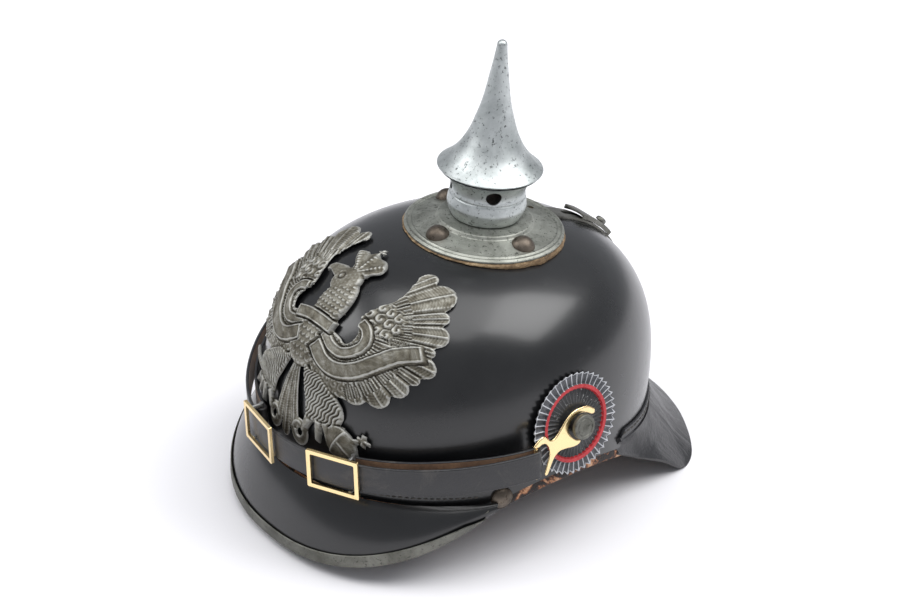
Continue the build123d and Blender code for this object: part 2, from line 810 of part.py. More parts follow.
def buckle_bar_place(angle, side):
    """Angle and centre of a buckle's steel bar, which sits near the end that faces its hook."""
    beside = angle_beside(angle, side * (buckle_length / 2 - buckle_bar_inset))
    depth = strap_wall / 2 + strap_gap + strap_wall + strap_gap + bar_radius
    return beside, strap_point(beside) - strap_normal(beside) * depth


def hook_bar_place(side):
    """Centre of a hook's bar in the strap's plane."""
    return strap_point(side * hook_angle) - strap_normal(side * hook_angle) * fold_radius


def band_face(points, normals, first_tangent, last_tangent):
    """A strip of the strap's thickness along some places, with its outer side along the normals."""
    half = strap_wall / 2
    outer = [point + normal * half for point, normal in zip(points, normals)]
    inner = [point - normal * half for point, normal in zip(points, normals)]
    edge = Spline(outer, tangents=[first_tangent, last_tangent])
    edge += Line(outer[-1], inner[-1])
    edge += Spline(inner[::-1], tangents=[last_tangent * -1, first_tangent * -1])
    edge += Line(inner[0], outer[0])
    return make_face(edge)


def fold_face(pin, outward, onward):
    """Half a ring of the strap's thickness round a bar, on the side that onward points to."""
    small = fold_radius - strap_wall / 2
    large = fold_radius + strap_wall / 2
    edge = ThreePointArc(pin + outward * large, pin + onward * large, pin - outward * large)
    edge += Line(pin - outward * large, pin - outward * small)
    edge += ThreePointArc(pin - outward * small, pin + onward * small, pin + outward * small)
    edge += Line(pin + outward * small, pin + outward * large)
    return make_face(edge)


def strap_end(angle, side):
    """One end of the strap: its fold round the hook's bar, the inner layer, and the loop at the buckle."""
    bar = hook_bar_place(side)
    outward = strap_normal(side * hook_angle)
    onward = strap_along(side * hook_angle) * side
    beside, pin = buckle_bar_place(angle, side)
    out = strap_normal(beside)
    back = strap_along(beside) * -side
    middle = (side * hook_angle + beside) / 2
    bow = strap_bow if side > 0 else 0
    waist = strap_point(middle) - strap_normal(middle) * (layer_step + bow)
    points = [bar - outward * fold_radius, waist, pin - out * fold_radius]
    layer = band_face(points, [outward, strap_normal(middle), out], onward * -1, back)
    return fold_face(bar, outward, onward) + layer + fold_face(pin, out, back)


def chin_strap():
    """One leather strip: its outer layer, and at both ends the folded inner layer and bar loop."""
    angles = [hook_angle * (2 * step / strap_steps - 1) for step in range(strap_steps + 1)]
    face = band_face([strap_point(angle) for angle in angles], [strap_normal(angle) for angle in angles],
                     strap_along(-hook_angle), strap_along(hook_angle))
    face += strap_end(buckle_left_angle, 1)
    face += strap_end(buckle_right_angle, -1)
    return in_strap_frame(Pos(0, 0, -strap_height / 2) * extrude(face, amount=strap_height))


def buckle_frame(angle):
    """A flat rectangular frame on the outside of the strap."""
    face = Rectangle(buckle_length, buckle_height)
    face -= Rectangle(buckle_length - 2 * buckle_rail, buckle_height - 2 * buckle_rail)
    body = extrude(face, amount=buckle_wall)
    body = fillet(body.edges().filter_by(Axis.Z), buckle_rail / 3)
    seat = strap_point(angle) + strap_normal(angle) * (strap_wall / 2 + buckle_gap)
    place = Plane(origin=seat, x_dir=strap_along(angle), z_dir=strap_normal(angle))
    return in_strap_frame(place.location * body)


def buckle_bar(angle, side):
    """The steel bar that the strap's end loops round, with its two ends turned out to the frame."""
    beside, pin = buckle_bar_place(angle, side)
    reach = strap_height / 2 + 2 * strap_gap + bar_radius
    bar = Pos(pin.X, pin.Y, 0) * Cylinder(bar_radius, 2 * (reach + bar_radius))
    seat = strap_point(angle) + strap_normal(angle) * (strap_wall / 2 + buckle_gap)
    length = (seat - pin).dot(strap_normal(angle))
    for level in (-reach, reach):
        foot = Plane(origin=(pin.X, pin.Y, level), x_dir=(0, 0, 1), z_dir=strap_normal(angle))
        bar += foot.location * Pos(0, 0, length / 2) * Cylinder(bar_foot_radius, length)
    return in_strap_frame(bar)


def strap_hook():
    """The left hook: a claw round the post's neck, a forked bridge and the bar in the strap's fold."""
    pin = hook_bar_place(1)
    reach = strap_height / 2 + claw_gap + claw_width / 2
    ends = [strap_frame.from_local_coords(Vector(pin.X, pin.Y, level)) for level in (-reach, reach)]
    tips = [post_plane.to_local_coords(end) for end in ends]
    outer = hook_ring_radius + hook_arm_width
    first = radians(hook_arm_start)
    last = radians(hook_arm_end)
    middle = (first + last) / 2
    corners = [(0, 0)] + [(3 * outer * cos(angle), 3 * outer * sin(angle)) for angle in (first, middle, last)]
    face = (Circle(outer) - Circle(hook_ring_radius)) & make_face(Polyline(corners, close=True))
    centre = (tips[0] + tips[1]) * 0.5
    throat_x = centre.X + fold_radius + strap_wall + claw_width
    throat = Vector(throat_x, centre.Y * throat_share)
    face += bar_shape(Vector(-outer, -hook_arm_width) + Vector(hook_arm_width / 2, 0), throat, hook_bridge_width)
    claws = []
    for tip in tips:
        elbow = Vector(throat_x, tip.Y)
        face += bar_shape(throat, elbow, claw_width)
        face += bar_shape(elbow, Vector(tip.X, tip.Y), claw_width)
        claws.append(Pos(tip.X, tip.Y, 0) * disc(claw_width / 2, hook_base, tip.Z + bar_radius))
    body = Pos(0, 0, hook_base) * extrude(face, amount=hook_wall)
    body = on_left_post(body + claws)
    return body + in_strap_frame(Pos(pin.X, pin.Y, 0) * Cylinder(bar_radius, 2 * reach))


def bar_shape(first, last, width):
    """A flat bar with round ends between two places."""
    along = last - first
    middle = (first + last) * 0.5
    turn = degrees(atan2(along.Y, along.X))
    return Pos(middle.X, middle.Y, 0) * Rot(0, 0, turn) * SlotOverall(along.length + width, width)


eagle_axis = Vector(0, -cos(radians(eagle_tilt)), sin(radians(eagle_tilt)))
eagle_plane = Plane(origin=(0, eagle_y, eagle_z), x_dir=(1, 0, 0), z_dir=eagle_axis)


def eagle_place(share, side=1):
    """A place on the eagle's drawing plane from its share of the half span and the height."""
    return Vector(share[0] * eagle_half_span * side, share[1] * eagle_height)


def smooth(shares, side):
    """A smooth line through places of the eagle's drawing."""
    return Spline([eagle_place(share, side) for share in shares])


def closed_face(shares):
    """A straight-sided face through places of the eagle's drawing."""
    return make_face(Polyline([eagle_place(share) for share in shares], close=True))


def wing(side):
    """One wing's outline: a curved inner edge and ten rounded feather ends."""
    edge = smooth(wing_inner_shares, side)
    notches = wing_feather_shares[::2]
    for first, tip, last in zip(notches, wing_feather_shares[1::2], notches[1:]):
        edge += ThreePointArc(eagle_place(first, side), eagle_place(tip, side), eagle_place(last, side))
    edge += smooth(wing_low_shares, side)
    edge += Line(eagle_place(wing_low_shares[-1], side), eagle_place(wing_inner_shares[0], side))
    return make_face(edge)


def blade(root, tip, root_width, tip_width):
    """A face that widens from its root to a round end."""
    along = (tip - root).normalized()
    across = Vector(-along.Y, along.X)
    start = root + across * (root_width / 2)
    shoulder = tip + across * (tip_width / 2)
    edge = Line(start, shoulder)
    edge += ThreePointArc(shoulder, tip + along * (tip_width / 2), tip - across * (tip_width / 2))
    edge += Line(tip - across * (tip_width / 2), root - across * (root_width / 2))
    edge += Line(root - across * (root_width / 2), start)
    return make_face(edge)


def wing_ribs(side):
    """A raised rib along each feather of one wing."""
    centre = eagle_place(rib_centre_share, side)
    ribs = []
    for share in wing_feather_shares[1::2]:
        along = eagle_place(share, side) - centre
        ribs.append(blade(centre + along * rib_start_share, centre + along * rib_end_share, rib_width / 2, rib_width))
    return ribs


def tail():
    """The fan of tail feathers below the body."""
    root = eagle_place(tail_root_share)
    feathers = []
    for angle in spread_angles(tail_spread / 2, tail_feathers):
        down = Vector(sin(radians(angle)), -cos(radians(angle))) * tail_length
        feathers.append(blade(root, root + down, rib_width, tail_tip_width))
    return feathers


def leg(side):
    """The feathered upper leg."""
    return blade(eagle_place(leg_root_share, side), eagle_place(leg_tip_share, side), leg_width / 2, leg_width)


def joined(faces):
    """One sketch from several overlapping faces."""
    whole = faces[0]
    for face in faces[1:]:
        whole = whole + face
    return whole


def ellipse_at(share, half_width, half_height):
    place = eagle_place(share)
    return (Pos(place.X, place.Y, 0) * Ellipse(half_width, half_height)).face()


def cross_at(share):
    """A small cross with equal arms."""
    place = eagle_place(share)
    arms = Rectangle(cross_size, cross_arm) + Rectangle(cross_arm, cross_size)
    return (Pos(place.X, place.Y, 0) * arms).face()


def ribbon():
    """The bare ribbon that sweeps over both wings and the chest."""
    line = smooth(ribbon_shares, 1)
    upper = []
    lower = []
    for step in range(ribbon_steps + 1):
        tangent = line % (step / ribbon_steps)
        across = Vector(-tangent.Y, tangent.X) * (ribbon_width / 2)
        upper.append(line @ (step / ribbon_steps) + across)
        lower.append(line @ (step / ribbon_steps) - across)
    edge = Spline(upper) + Line(upper[-1], lower[-1]) + Spline(lower[::-1]) + Line(lower[0], upper[0])
    return make_face(edge)


def on_dome(share, side=1, out=0):
    """Where the normal of the eagle's plane at a place meets the skull, grown outwards by out."""
    start = eagle_plane.from_local_coords(eagle_place(share, side))
    near = -eagle_depth
    far = eagle_depth
    for step in range(search_steps):
        middle = (near + far) / 2
        spot = start + eagle_axis * middle
        spread = hypot(spot.X / (skull_half_width + out), spot.Y / (skull_half_length + out))
        if spread ** dome_power + abs(spot.Z / (skull_height + out)) ** dome_power < 1:
            near = middle
        else:
            far = middle
    return start + eagle_axis * near


def under_relief(out):
    """The space behind the eagle, up to the dome grown outwards by out."""
    rows = []
    for row in range(patch_steps + 1):
        height = patch_low_share + (patch_high_share - patch_low_share) * row / patch_steps
        spans = spread_angles(patch_span_share, patch_steps + 1)
        rows.append([on_dome((span, height), 1, out) for span in spans])
    return extrude(Face.make_surface_from_array_of_points(rows), amount=2 * eagle_depth, dir=-eagle_axis)


def relief(faces, low, high):
    """A layer of the plate: the faces laid on the dome between two heights above the plate's back."""
    prism = eagle_plane.location * extrude(joined(faces), amount=eagle_depth, both=True)
    return (prism & under_relief(eagle_gap + high)) - under_relief(eagle_gap + low)


def eagle_plate():
    """The crowned eagle: ribbed wings and tail under a ribbon, body, head, crown, legs, orb and sceptre."""
    head = ellipse_at(head_share, head_radius, head_radius)
    high = [ellipse_at(body_centre_share, body_half_width, body_half_height),
            ellipse_at(neck_centre_share, neck_half_width, neck_half_height),
            head, closed_face(beak_shares), closed_face(crown_shares), cross_at(crown_cross_share)]
    orb = [ellipse_at(orb_share, orb_radius, orb_radius), cross_at(orb_cross_share)]
    sceptre = bar_shape(eagle_place(sceptre_root_share), eagle_place(sceptre_tip_share), sceptre_width).face()
    plain = [wing(-1), wing(1), leg(-1), leg(1)] + tail() + high + orb + [sceptre]
    body = relief(plain, 0, eagle_wall)
    for faces, height in ((wing_ribs(-1) + wing_ribs(1), rib_relief), (orb, orb_relief),
                          ([ribbon()], ribbon_relief), (high, body_relief)):
        body += relief(faces, eagle_wall / 2, height)
    return body


def lug_plane(side):
    return Plane(origin=on_dome(lug_share, side), x_dir=(1, 0, 0), z_dir=eagle_axis)


def eagle_lugs():
    """Two flat lugs on the plate's back that pass through slots in the skull, each with an eye."""
    lugs = []
    for side in (-1, 1):
        body = Pos(0, 0, -lug_length / 2 + eagle_gap + eagle_wall) * Box(lug_wall, lug_width, lug_length)
        eye = Pos(0, 0, -lug_eye_centre) * Box(2 * lug_wall, pin_width + 2 * fit_gap, lug_eye_width)
        lugs.append(lug_plane(side).location * (body - eye) & dome(eagle_gap - fit_gap))
    return Compound(lugs)


def lug_slots():
    """The slots in the skull for the lugs."""
    slot = Box(lug_wall + 4 * fit_gap, lug_width + 4 * fit_gap, 2 * lug_length)
    return Compound([lug_plane(side).location * slot for side in (-1, 1)])


def lug_pins():
    """Wedges through the lugs' eyes that hold the plate against the skull."""
    pin = Pos(0, 0, -lug_eye_centre) * Box(pin_length, pin_width, pin_thickness)
    return Compound([lug_plane(side).location * pin for side in (-1, 1)])


def skull():
    """The leather skull, with its openings for the spike, the vent, the posts, the studs and the eagle."""
    body = dome(0) - dome(-skull_wall) - below_rim(0)
    body -= on_spike_axis(disc(skull_hole_radius, 0, plate_collar_z))
    body -= vent_slot()
    body -= post_hole()
    body -= mirrored(post_hole())
    body -= lug_slots()
    body -= shanks(fit_gap, stud_angles)
    return body


def rim_binding():
    """The leather welt along the skull's lower edge."""
    return in_halves(((dome(0) - dome(-skull_wall)) & below_rim(0)) - below_rim(binding_height))


def sweatband():
    """The leather band inside the rim."""
    far = 2 * skull_half_length
    above = Pos(0, 0, band_top_z + far / 2) * Box(far, far, far)
    body = dome(-skull_wall - band_gap) - dome(-skull_wall - band_gap - band_wall)
    return in_halves(body - above - below_rim(binding_height))


def tongues():
    """Leather leaves sewn to the band, drawn together under the crown, each with a lace hole."""
    out = -skull_wall - band_gap - band_wall - tongue_gap
    width = skull_half_width + out
    length = skull_half_length + out
    top = skull_height - crown_space
    shell = dome_solid(width, length, top) - dome_solid(width - tongue_wall, length - tongue_wall, top - tongue_wall)
    half = tongue_width / 2
    tip = tongue_tip_width / 2
    outline = Polyline((-tip, tongue_tip_z - tip), (-half, tongue_foot_z), (half, tongue_foot_z),
                       (tip, tongue_tip_z - tip))
    outline += ThreePointArc((tip, tongue_tip_z - tip), (0, tongue_tip_z), (-tip, tongue_tip_z - tip))
    face = make_face(outline) - Pos(0, tongue_tip_z - tip, 0) * Circle(lace_hole_radius)
    leaves = []
    for step in range(tongue_count):
        turn = 360 * step / tongue_count
        side = Plane(origin=(0, 0, 0), x_dir=(cos(radians(turn)), sin(radians(turn)), 0),
                     z_dir=(sin(radians(turn)), -cos(radians(turn)), 0))
        leaves.append(shell & (side.location * extrude(face, amount=2 * length)))
    return Compound(leaves)


def trim_stud_plane():
    x = dome_side_x(trim_stud_y, -trim_stud_drop)
    normal = Vector(x / skull_half_width ** 2, trim_stud_y / skull_half_length ** 2, 0).normalized()
    return Plane(origin=(x, trim_stud_y, -trim_stud_drop), x_dir=(0, 0, 1), z_dir=normal)


def trim_stud_hole():
    """The hole for a trim stud's shank through the trim, the visor and the skull."""
    return trim_stud_plane().location * Cylinder(trim_stud_shank_radius + fit_gap, trim_stud_hole_length)


def trim_stud(visor, trim):
    """A domed stud over the trim's end, its shank passing through to the inside of the skull."""
    ball = (trim_stud_radius ** 2 + trim_stud_height ** 2) / (2 * trim_stud_height)
    cap = Pos(0, 0, trim_stud_height - ball) * Sphere(ball) & Pos(0, 0, ball) * Box(2 * ball, 2 * ball, 2 * ball)
    shank = disc(trim_stud_shank_radius, -trim_stud_shank_length, trim_stud_height / 2)
    place = trim_stud_plane().location
    return (place * cap - visor - trim - dome(fit_gap)) + place * shank


def both_sides(item):
    """The left-hand item and its mirror image, as one node."""
    return Compound([item, mirrored(item)])


# The helmet as it stands: leaned back on the visor's front edge and the neck guard's lower edge
lean = Rot(X=-lean_angle)
stud_holes = both_sides(trim_stud_hole())
visor_body = front_visor()
trim_body = visor_trim(visor_body)
floor_z = (lean * trim_body).bounding_box().min.Z


def ground(y):
    """Height of the floor under a place of the upright helmet."""
    return floor_z / cos(radians(lean_angle)) + y * tan(radians(lean_angle))


end_stud = trim_stud(visor_body, trim_body)
post = side_post()
pieces = {
    "skull": skull() - stud_holes,
    "rim_binding": rim_binding(),
    "front_visor": visor_body - stud_holes,
    "visor_trim": trim_body - stud_holes,
    "trim_end_studs": both_sides(end_stud),
    "neck_guard": neck_guard(ground),
    "guard_flange": guard_flange(),
    "rear_spine": rear_spine(),
    "spine_rivet": spine_rivet(),
    "vent_cover": vent_cover(),
    "cover_knob": cover_knob(),
    "base_gasket": base_gasket(),
    "base_plate": base_plate(),
    "base_studs": base_studs(),
    "inner_washer": inner_washer(),
    "spike_socket": spike_socket(),
    "bayonet_ring": bayonet_ring(),
    "spike_neck": spike_neck(),
    "spike_cone": spike_cone(),
    "eagle_plate": eagle_plate(),
    "eagle_lugs": eagle_lugs(),
    "eagle_pins": lug_pins(),
    "side_post_left": post,
    "side_post_right": mirrored(post),
    "post_nut_left": post_nut(),
    "post_nut_right": mirrored(post_nut()),
    "cockade_left": cockade(),
    "cockade_right": mirrored(cockade()),
    "chin_strap": chin_strap(),
    "strap_hook_left": strap_hook(),
    "strap_hook_right": mirrored(strap_hook()),
    "buckle_frame_left": buckle_frame(buckle_left_angle),
    "buckle_frame_right": buckle_frame(buckle_right_angle),
    "buckle_bar_left": buckle_bar(buckle_left_angle, 1),
    "buckle_bar_right": buckle_bar(buckle_right_angle, -1),
    "sweatband": sweatband(),
    "liner_tongues": tongues(),
}
leaned = {name: lean * piece for name, piece in pieces.items()}
boxes = [piece.bounding_box() for piece in leaned.values()]
middle_y = (min(box.min.Y for box in boxes) + max(box.max.Y for box in boxes)) / 2
stand = Pos(0, -middle_y, -min(box.min.Z for box in boxes))
for name, piece in leaned.items():
    export_step(stand * piece, "parts/" + name + ".step")
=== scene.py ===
# %% [markdown]
# # A leather spiked helmet
# The real object is a black lacquered leather shell with a front visor, a softer neck guard, a galvanised
# steel spike and a stamped eagle plate. The engineering model gives every piece its place and its joint.
# This lesson dresses that model: each step names one real piece, says how it could be made, and makes it.

# %% Load the engineering model
from math import asin, atan2, cos, degrees, pi, radians, sin, sqrt
import bmesh
import bpy
import numpy as np
from mathutils import Matrix, Vector, noise


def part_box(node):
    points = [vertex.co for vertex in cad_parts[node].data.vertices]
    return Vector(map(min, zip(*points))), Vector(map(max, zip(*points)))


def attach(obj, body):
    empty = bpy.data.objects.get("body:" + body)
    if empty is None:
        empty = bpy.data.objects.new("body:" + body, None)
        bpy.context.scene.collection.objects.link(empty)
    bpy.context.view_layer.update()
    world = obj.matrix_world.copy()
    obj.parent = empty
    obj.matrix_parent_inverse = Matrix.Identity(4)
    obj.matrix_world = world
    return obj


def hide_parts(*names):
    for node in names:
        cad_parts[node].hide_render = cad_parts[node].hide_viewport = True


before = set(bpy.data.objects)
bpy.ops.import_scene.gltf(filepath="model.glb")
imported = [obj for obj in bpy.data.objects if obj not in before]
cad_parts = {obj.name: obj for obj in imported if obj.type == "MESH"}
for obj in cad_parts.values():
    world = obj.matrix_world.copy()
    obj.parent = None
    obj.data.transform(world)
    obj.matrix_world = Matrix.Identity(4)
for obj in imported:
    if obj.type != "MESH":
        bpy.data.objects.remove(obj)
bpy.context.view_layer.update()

# %% [markdown]
# ## From the shell's own axes to the table
# The shell is easiest to describe upright: its widest level is z = 0, the front is -Y, lengths in millimetres.
# It stands leaned back by 4.5 degrees, so one function turns upright millimetres into metres on the table.
# The sizes below are the engineering model's, because a dressed piece has to fill the same space.

# %% Sizes that several pieces share, in upright millimetres
HALF = np.array([91.3, 110.2, 90.8])
POWER = 2.8
SHELL_WALL = 3.0
RIM_DROP = 21.5
ARCH_REACH, ARCH_RISE, ARCH_Y = 48.0, 11.5, 6.0
SPIKE_Y, SPIKE_TIP = 8.0, 194.8
FLARE_RADIUS, FLARE_HEIGHT = 26.9, 126.0
LEATHER = 2.6
LEAN = radians(4.5)
STAND = np.array([0.0, -7.03341, 50.3519])
SIDES = ((1, "left"), (-1, "right"))


def on_table(points):
    """Upright millimetres to metres in the standing helmet's frame."""
    p = np.asarray(points, dtype=float)
    y = p[..., 1] * cos(LEAN) + p[..., 2] * sin(LEAN)
    z = p[..., 2] * cos(LEAN) - p[..., 1] * sin(LEAN)
    return (np.stack([p[..., 0], y, z], axis=-1) + STAND) / 1000


def unit(ways):
    """The same directions, each with a length of 1."""
    ways = np.asarray(ways, dtype=float)
    return ways / np.linalg.norm(ways, axis=-1, keepdims=True)


# %% [markdown]
# ## The camera
# The photograph is taken from the front left of the wearer, about 29 degrees above the table, with a long
# lens. A long lens keeps the perspective weak. The camera's three axes come from fitting known points.

# %% Set the camera
camera_data = bpy.data.cameras.new("studio_camera")
camera_data.sensor_width, camera_data.lens = 36, 96
camera = bpy.data.objects.new("studio_camera", camera_data)
bpy.context.scene.collection.objects.link(camera)
right = (0.621847, 0.782856, 0.021045)
up = (-0.421489, 0.311911, 0.851504)
back = (0.660041, -0.538375, 0.523926)
place = Vector((0.82545, -0.68677, 0.758113))
camera.matrix_world = Matrix((right, up, back)).transposed().to_4x4()
camera.location = place
bpy.context.scene.camera = camera
print("camera", [round(v, 3) for v in place], "looks down by", round(degrees(asin(back[2])), 1), "degrees")

# %% [markdown]
# ## Shader maths as sums
# A procedural finish is a sum of noises, masks and colours. Writing it as a sum is easier to read than a list
# of nodes, so a small class wraps a socket: each operator on it adds the node that does that operation.

# %% A socket that can stand in a sum
class Flow:
    """A node's output that can be used in sums with numbers and other outputs."""

    def __init__(self, nodes, socket):
        self.nodes = nodes
        self.socket = socket

    def sum_with(self, operation, first, second):
        """The Math node of one operation."""
        return self.nodes.node("ShaderNodeMath", {"operation": operation}, {0: first, 1: second})

    def __add__(self, other):
        return self.sum_with("ADD", self, other)

    def __sub__(self, other):
        return self.sum_with("SUBTRACT", self, other)

    def __rsub__(self, other):
        return self.sum_with("SUBTRACT", other, self)

    def __mul__(self, other):
        return self.sum_with("MULTIPLY", self, other)

    __radd__ = __add__
    __rmul__ = __mul__


# %% One method for every node
class Nodes:
    """The node tree of a material or a world."""

    def __init__(self, owner):
        owner.use_nodes = True
        self.tree = owner.node_tree
        self.tree.nodes.clear()

    def node(self, kind, settings=None, inputs=None, output=0):
        """Any node: its settings first, then the values or links of its sockets."""
        made = self.tree.nodes.new(kind)
        for key, value in (settings or {}).items():
            if key == "stops":
                ramp = made.color_ramp
                for step, (spot, colour) in enumerate(value):
                    stop = ramp.elements[step] if step < 2 else ramp.elements.new(spot)
                    stop.position = spot
                    stop.color = (*colour, 1) if isinstance(colour, tuple) else (colour, colour, colour, 1)
            else:
                setattr(made, key, value)
        for key, value in (inputs or {}).items():
            self.feed(made.inputs[key], value)
        return Flow(self, made.outputs[output]) if made.outputs else made

    def feed(self, socket, value):
        """A link, a colour or a number for one socket."""
        if isinstance(value, Flow):
            self.tree.links.new(value.socket, socket)
        elif isinstance(value, tuple) and len(value) == 3 and socket.type == "RGBA":
            socket.default_value = (*value, 1)
        else:
            socket.default_value = value


# %% A finish: one material and the patterns it is mixed from
class Finish(Nodes):
    """A material with one shader, and short names for the patterns that finishes need."""

    def __init__(self, name):
        self.material = bpy.data.materials.new(name)
        super().__init__(self.material)
        surface = self.node("ShaderNodeBsdfPrincipled")
        self.shader = surface.socket.node
        self.node("ShaderNodeOutputMaterial", {}, {"Surface": surface})
        self.place = self.node("ShaderNodeTexCoord", output="Object")

    def grain(self, size_mm, detail=3.0, rough=0.55, twist=0.0, stretch=(1, 1, 1)):
        """Noise whose blobs are about size_mm wide, from 0 to 1."""
        where = self.node("ShaderNodeMapping", {}, {"Vector": self.place, "Scale": stretch})
        return self.node("ShaderNodeTexNoise", {}, {"Vector": where, "Scale": 500 / size_mm, "Detail": detail,
                                                    "Roughness": rough, "Distortion": twist})

    def cells(self, size_mm, feature="F1"):
        """Distance pattern of scattered points about size_mm apart."""
        where = {"Vector": self.place, "Scale": 1000 / size_mm}
        return self.node("ShaderNodeTexVoronoi", {"feature": feature}, where, "Distance")

    def curve(self, value, *stops):
        """A ramp; the stops are (place, grey or colour)."""
        return self.node("ShaderNodeValToRGB", {"stops": stops}, {"Fac": value})

    def mask(self, value, low, high):
        """0 below low, 1 above high, smooth between."""
        return self.node("ShaderNodeMapRange", {"interpolation_type": "SMOOTHSTEP"},
                         {"Value": value, "From Min": low, "From Max": high, "To Min": 0.0, "To Max": 1.0})

    def blend(self, share, first, second):
        """A colour between two colours."""
        return self.node("ShaderNodeMix", {"data_type": "RGBA"}, {0: share, 6: first, 7: second}, 2)

    def relief(self, height, depth_mm, under=None):
        """A bump whose height of 1 stands for depth_mm."""
        inputs = {"Height": height, "Distance": depth_mm / 1000, "Strength": 1.0}
        if under:
            inputs["Normal"] = under
        return self.node("ShaderNodeBump", {}, inputs)

    def set(self, **sockets):
        """Feeds the shader; underscores stand for spaces."""
        for name, value in sockets.items():
            self.feed(self.shader.inputs[name.replace("_", " ")], value)
        return self


print("the shader helpers are ready")

# %% [markdown]
# ## Meshes from sections
# Most pieces are one section carried along a path: a visor, a strap, a rolled edge. One function joins
# sections of equal length into a closed skin, and a lathe is the same thing with the sections set in a ring.

# %% Builders for lofted and turned pieces
def add_piece(name, points, faces, finish, body="helmet", replaces=(), tags=None, sharp=38):
    """Upright millimetre points and faces become a smooth-shaded piece that rides on a body."""
    mesh = bpy.data.meshes.new(name)
    mesh.from_pydata(on_table(points).tolist(), [], [tuple(int(i) for i in face) for face in faces])
    finishes = finish if isinstance(finish, list) else [finish]
    for item in finishes:
        mesh.materials.append(item.material)
    if tags is not None:
        mesh.polygons.foreach_set("material_index", np.asarray(tags, dtype=np.int32))
    work = bmesh.new()
    work.from_mesh(mesh)
    bmesh.ops.remove_doubles(work, verts=work.verts, dist=2e-6)
    bmesh.ops.recalc_face_normals(work, faces=work.faces)
    work.to_mesh(mesh)
    work.free()
    mesh.polygons.foreach_set("use_smooth", [True] * len(mesh.polygons))
    mesh.set_sharp_from_angle(angle=radians(sharp))
    piece = bpy.data.objects.new(name, mesh)
    bpy.context.scene.collection.objects.link(piece)
    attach(piece, body)
    if replaces:
        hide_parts(*replaces)
    return piece


def thicken(piece, wall_mm):
    """Gives a sheet its wall, inwards from its face."""
    sheet = piece.modifiers.new("sheet", "SOLIDIFY")
    sheet.thickness = wall_mm / 1000
    sheet.offset = -1


def loft(sections, ring=False):
    """Faces that join closed sections; ring joins the last to the first, otherwise the two ends are capped."""
    grid = np.asarray(sections, dtype=float)
    count, size = grid.shape[:2]
    faces = []
    for row in range(count if ring else count - 1):
        after = (row + 1) % count
        for step in range(size):
            beside = (step + 1) % size
            faces.append((row * size + step, row * size + beside, after * size + beside, after * size + step))
    if not ring:
        faces.append(tuple(range(size)))
        faces.append(tuple((count - 1) * size + step for step in range(size)))
    return grid.reshape(-1, 3), faces


def lathe(profile, steps, place):
    """A closed (radius, height) profile turned about an axis; place maps the axis frame to the helmet."""
    profile = np.asarray(profile, dtype=float)
    sections = []
    for step in range(steps):
        angle = 2 * pi * step / steps
        ring = np.stack([profile[:, 0] * cos(angle), profile[:, 0] * sin(angle), profile[:, 1]], axis=-1)
        sections.append(place(ring))
    return loft(sections, ring=True)


def rounded(corners, radius, steps=4):
    """A closed outline with its corners rounded; radius is one number or one for each corner."""
    corners = [np.asarray(corner, dtype=float) for corner in corners]
    out = []
    for index, corner in enumerate(corners):
        size = radius[index] if isinstance(radius, (list, tuple)) else radius
        before, after = corners[index - 1], corners[(index + 1) % len(corners)]
        first, last = before - corner, after - corner
        reach = min(size, 0.45 * np.linalg.norm(first), 0.45 * np.linalg.norm(last))
        if reach < 1e-6:
            out.append(corner)
            continue
        start, end = corner + unit(first) * reach, corner + unit(last) * reach
        for step in range(steps + 1):
            t = step / steps
            out.append((1 - t) ** 2 * start + 2 * t * (1 - t) * corner + t ** 2 * end)
    return np.array(out)


def through(points, samples):
    """A smooth line through places, evenly sampled between them."""
    points = np.asarray(points, dtype=float)
    ends = np.vstack([2 * points[0] - points[1], points, 2 * points[-1] - points[-2]])
    out = []
    for step in range(samples):
        t = step / (samples - 1) * (len(points) - 1)
        index = min(int(t), len(points) - 2)
        t -= index
        a, b, c, d = ends[index:index + 4]
        out.append(0.5 * (2 * b + (c - a) * t + (2 * a - 5 * b + 4 * c - d) * t ** 2
                          + (3 * b - a - 3 * c + d) * t ** 3))
    return np.array(out)


def frame_at(origin, axis, across):
    """A placing function: local x along across, local z along axis."""
    origin, z, x = np.asarray(origin, dtype=float), unit(axis), np.asarray(across, dtype=float)
    x = unit(x - z * x.dot(z))
    y = np.cross(z, x)
    return lambda p: origin + p[..., 0:1] * x + p[..., 1:2] * y + p[..., 2:3] * z


def mirrored(points):
    """The same points on the other side of the helmet."""
    return np.asarray(points) * np.array([-1.0, 1.0, 1.0])


def on_side(points, side):
    """Points made for the left side, as they are or mirrored."""
    return points if side > 0 else mirrored(points)


def measured(piece):
    """A piece's three sizes in metres, for printing."""
    return [round(size, 3) for size in piece.dimensions]


def cut(piece, cutter_points, cutter_faces):
    """Takes a closed form out of a piece and leaves the piece a plain mesh."""
    mesh = bpy.data.meshes.new("cutter")
    mesh.from_pydata(on_table(cutter_points).tolist(), [], cutter_faces)
    work = bmesh.new()
    work.from_mesh(mesh)
    bmesh.ops.recalc_face_normals(work, faces=work.faces)
    work.to_mesh(mesh)
    work.free()
    cutter = bpy.data.objects.new("cutter", mesh)
    bpy.context.scene.collection.objects.link(cutter)
    step = piece.modifiers.new("cut", "BOOLEAN")
    step.operation = "DIFFERENCE"
    step.solver = "EXACT"
    step.object = cutter
    graph = bpy.context.evaluated_depsgraph_get()
    result = bpy.data.meshes.new_from_object(piece.evaluated_get(graph))
    piece.modifiers.clear()
    old = piece.data
    piece.data = result
    bpy.data.meshes.remove(old)
    bpy.data.objects.remove(cutter)
    bpy.data.meshes.remove(mesh)
    result.set_sharp_from_angle(angle=radians(38))


def joined(parts):
    """Several (points, faces) as one."""
    points, faces, start = [], [], 0
    for some, their in parts:
        points.append(np.asarray(some).reshape(-1, 3))
        faces += [tuple(i + start for i in face) for face in their]
        start += len(points[-1])
    return np.vstack(points), faces


print("the mesh helpers are ready")

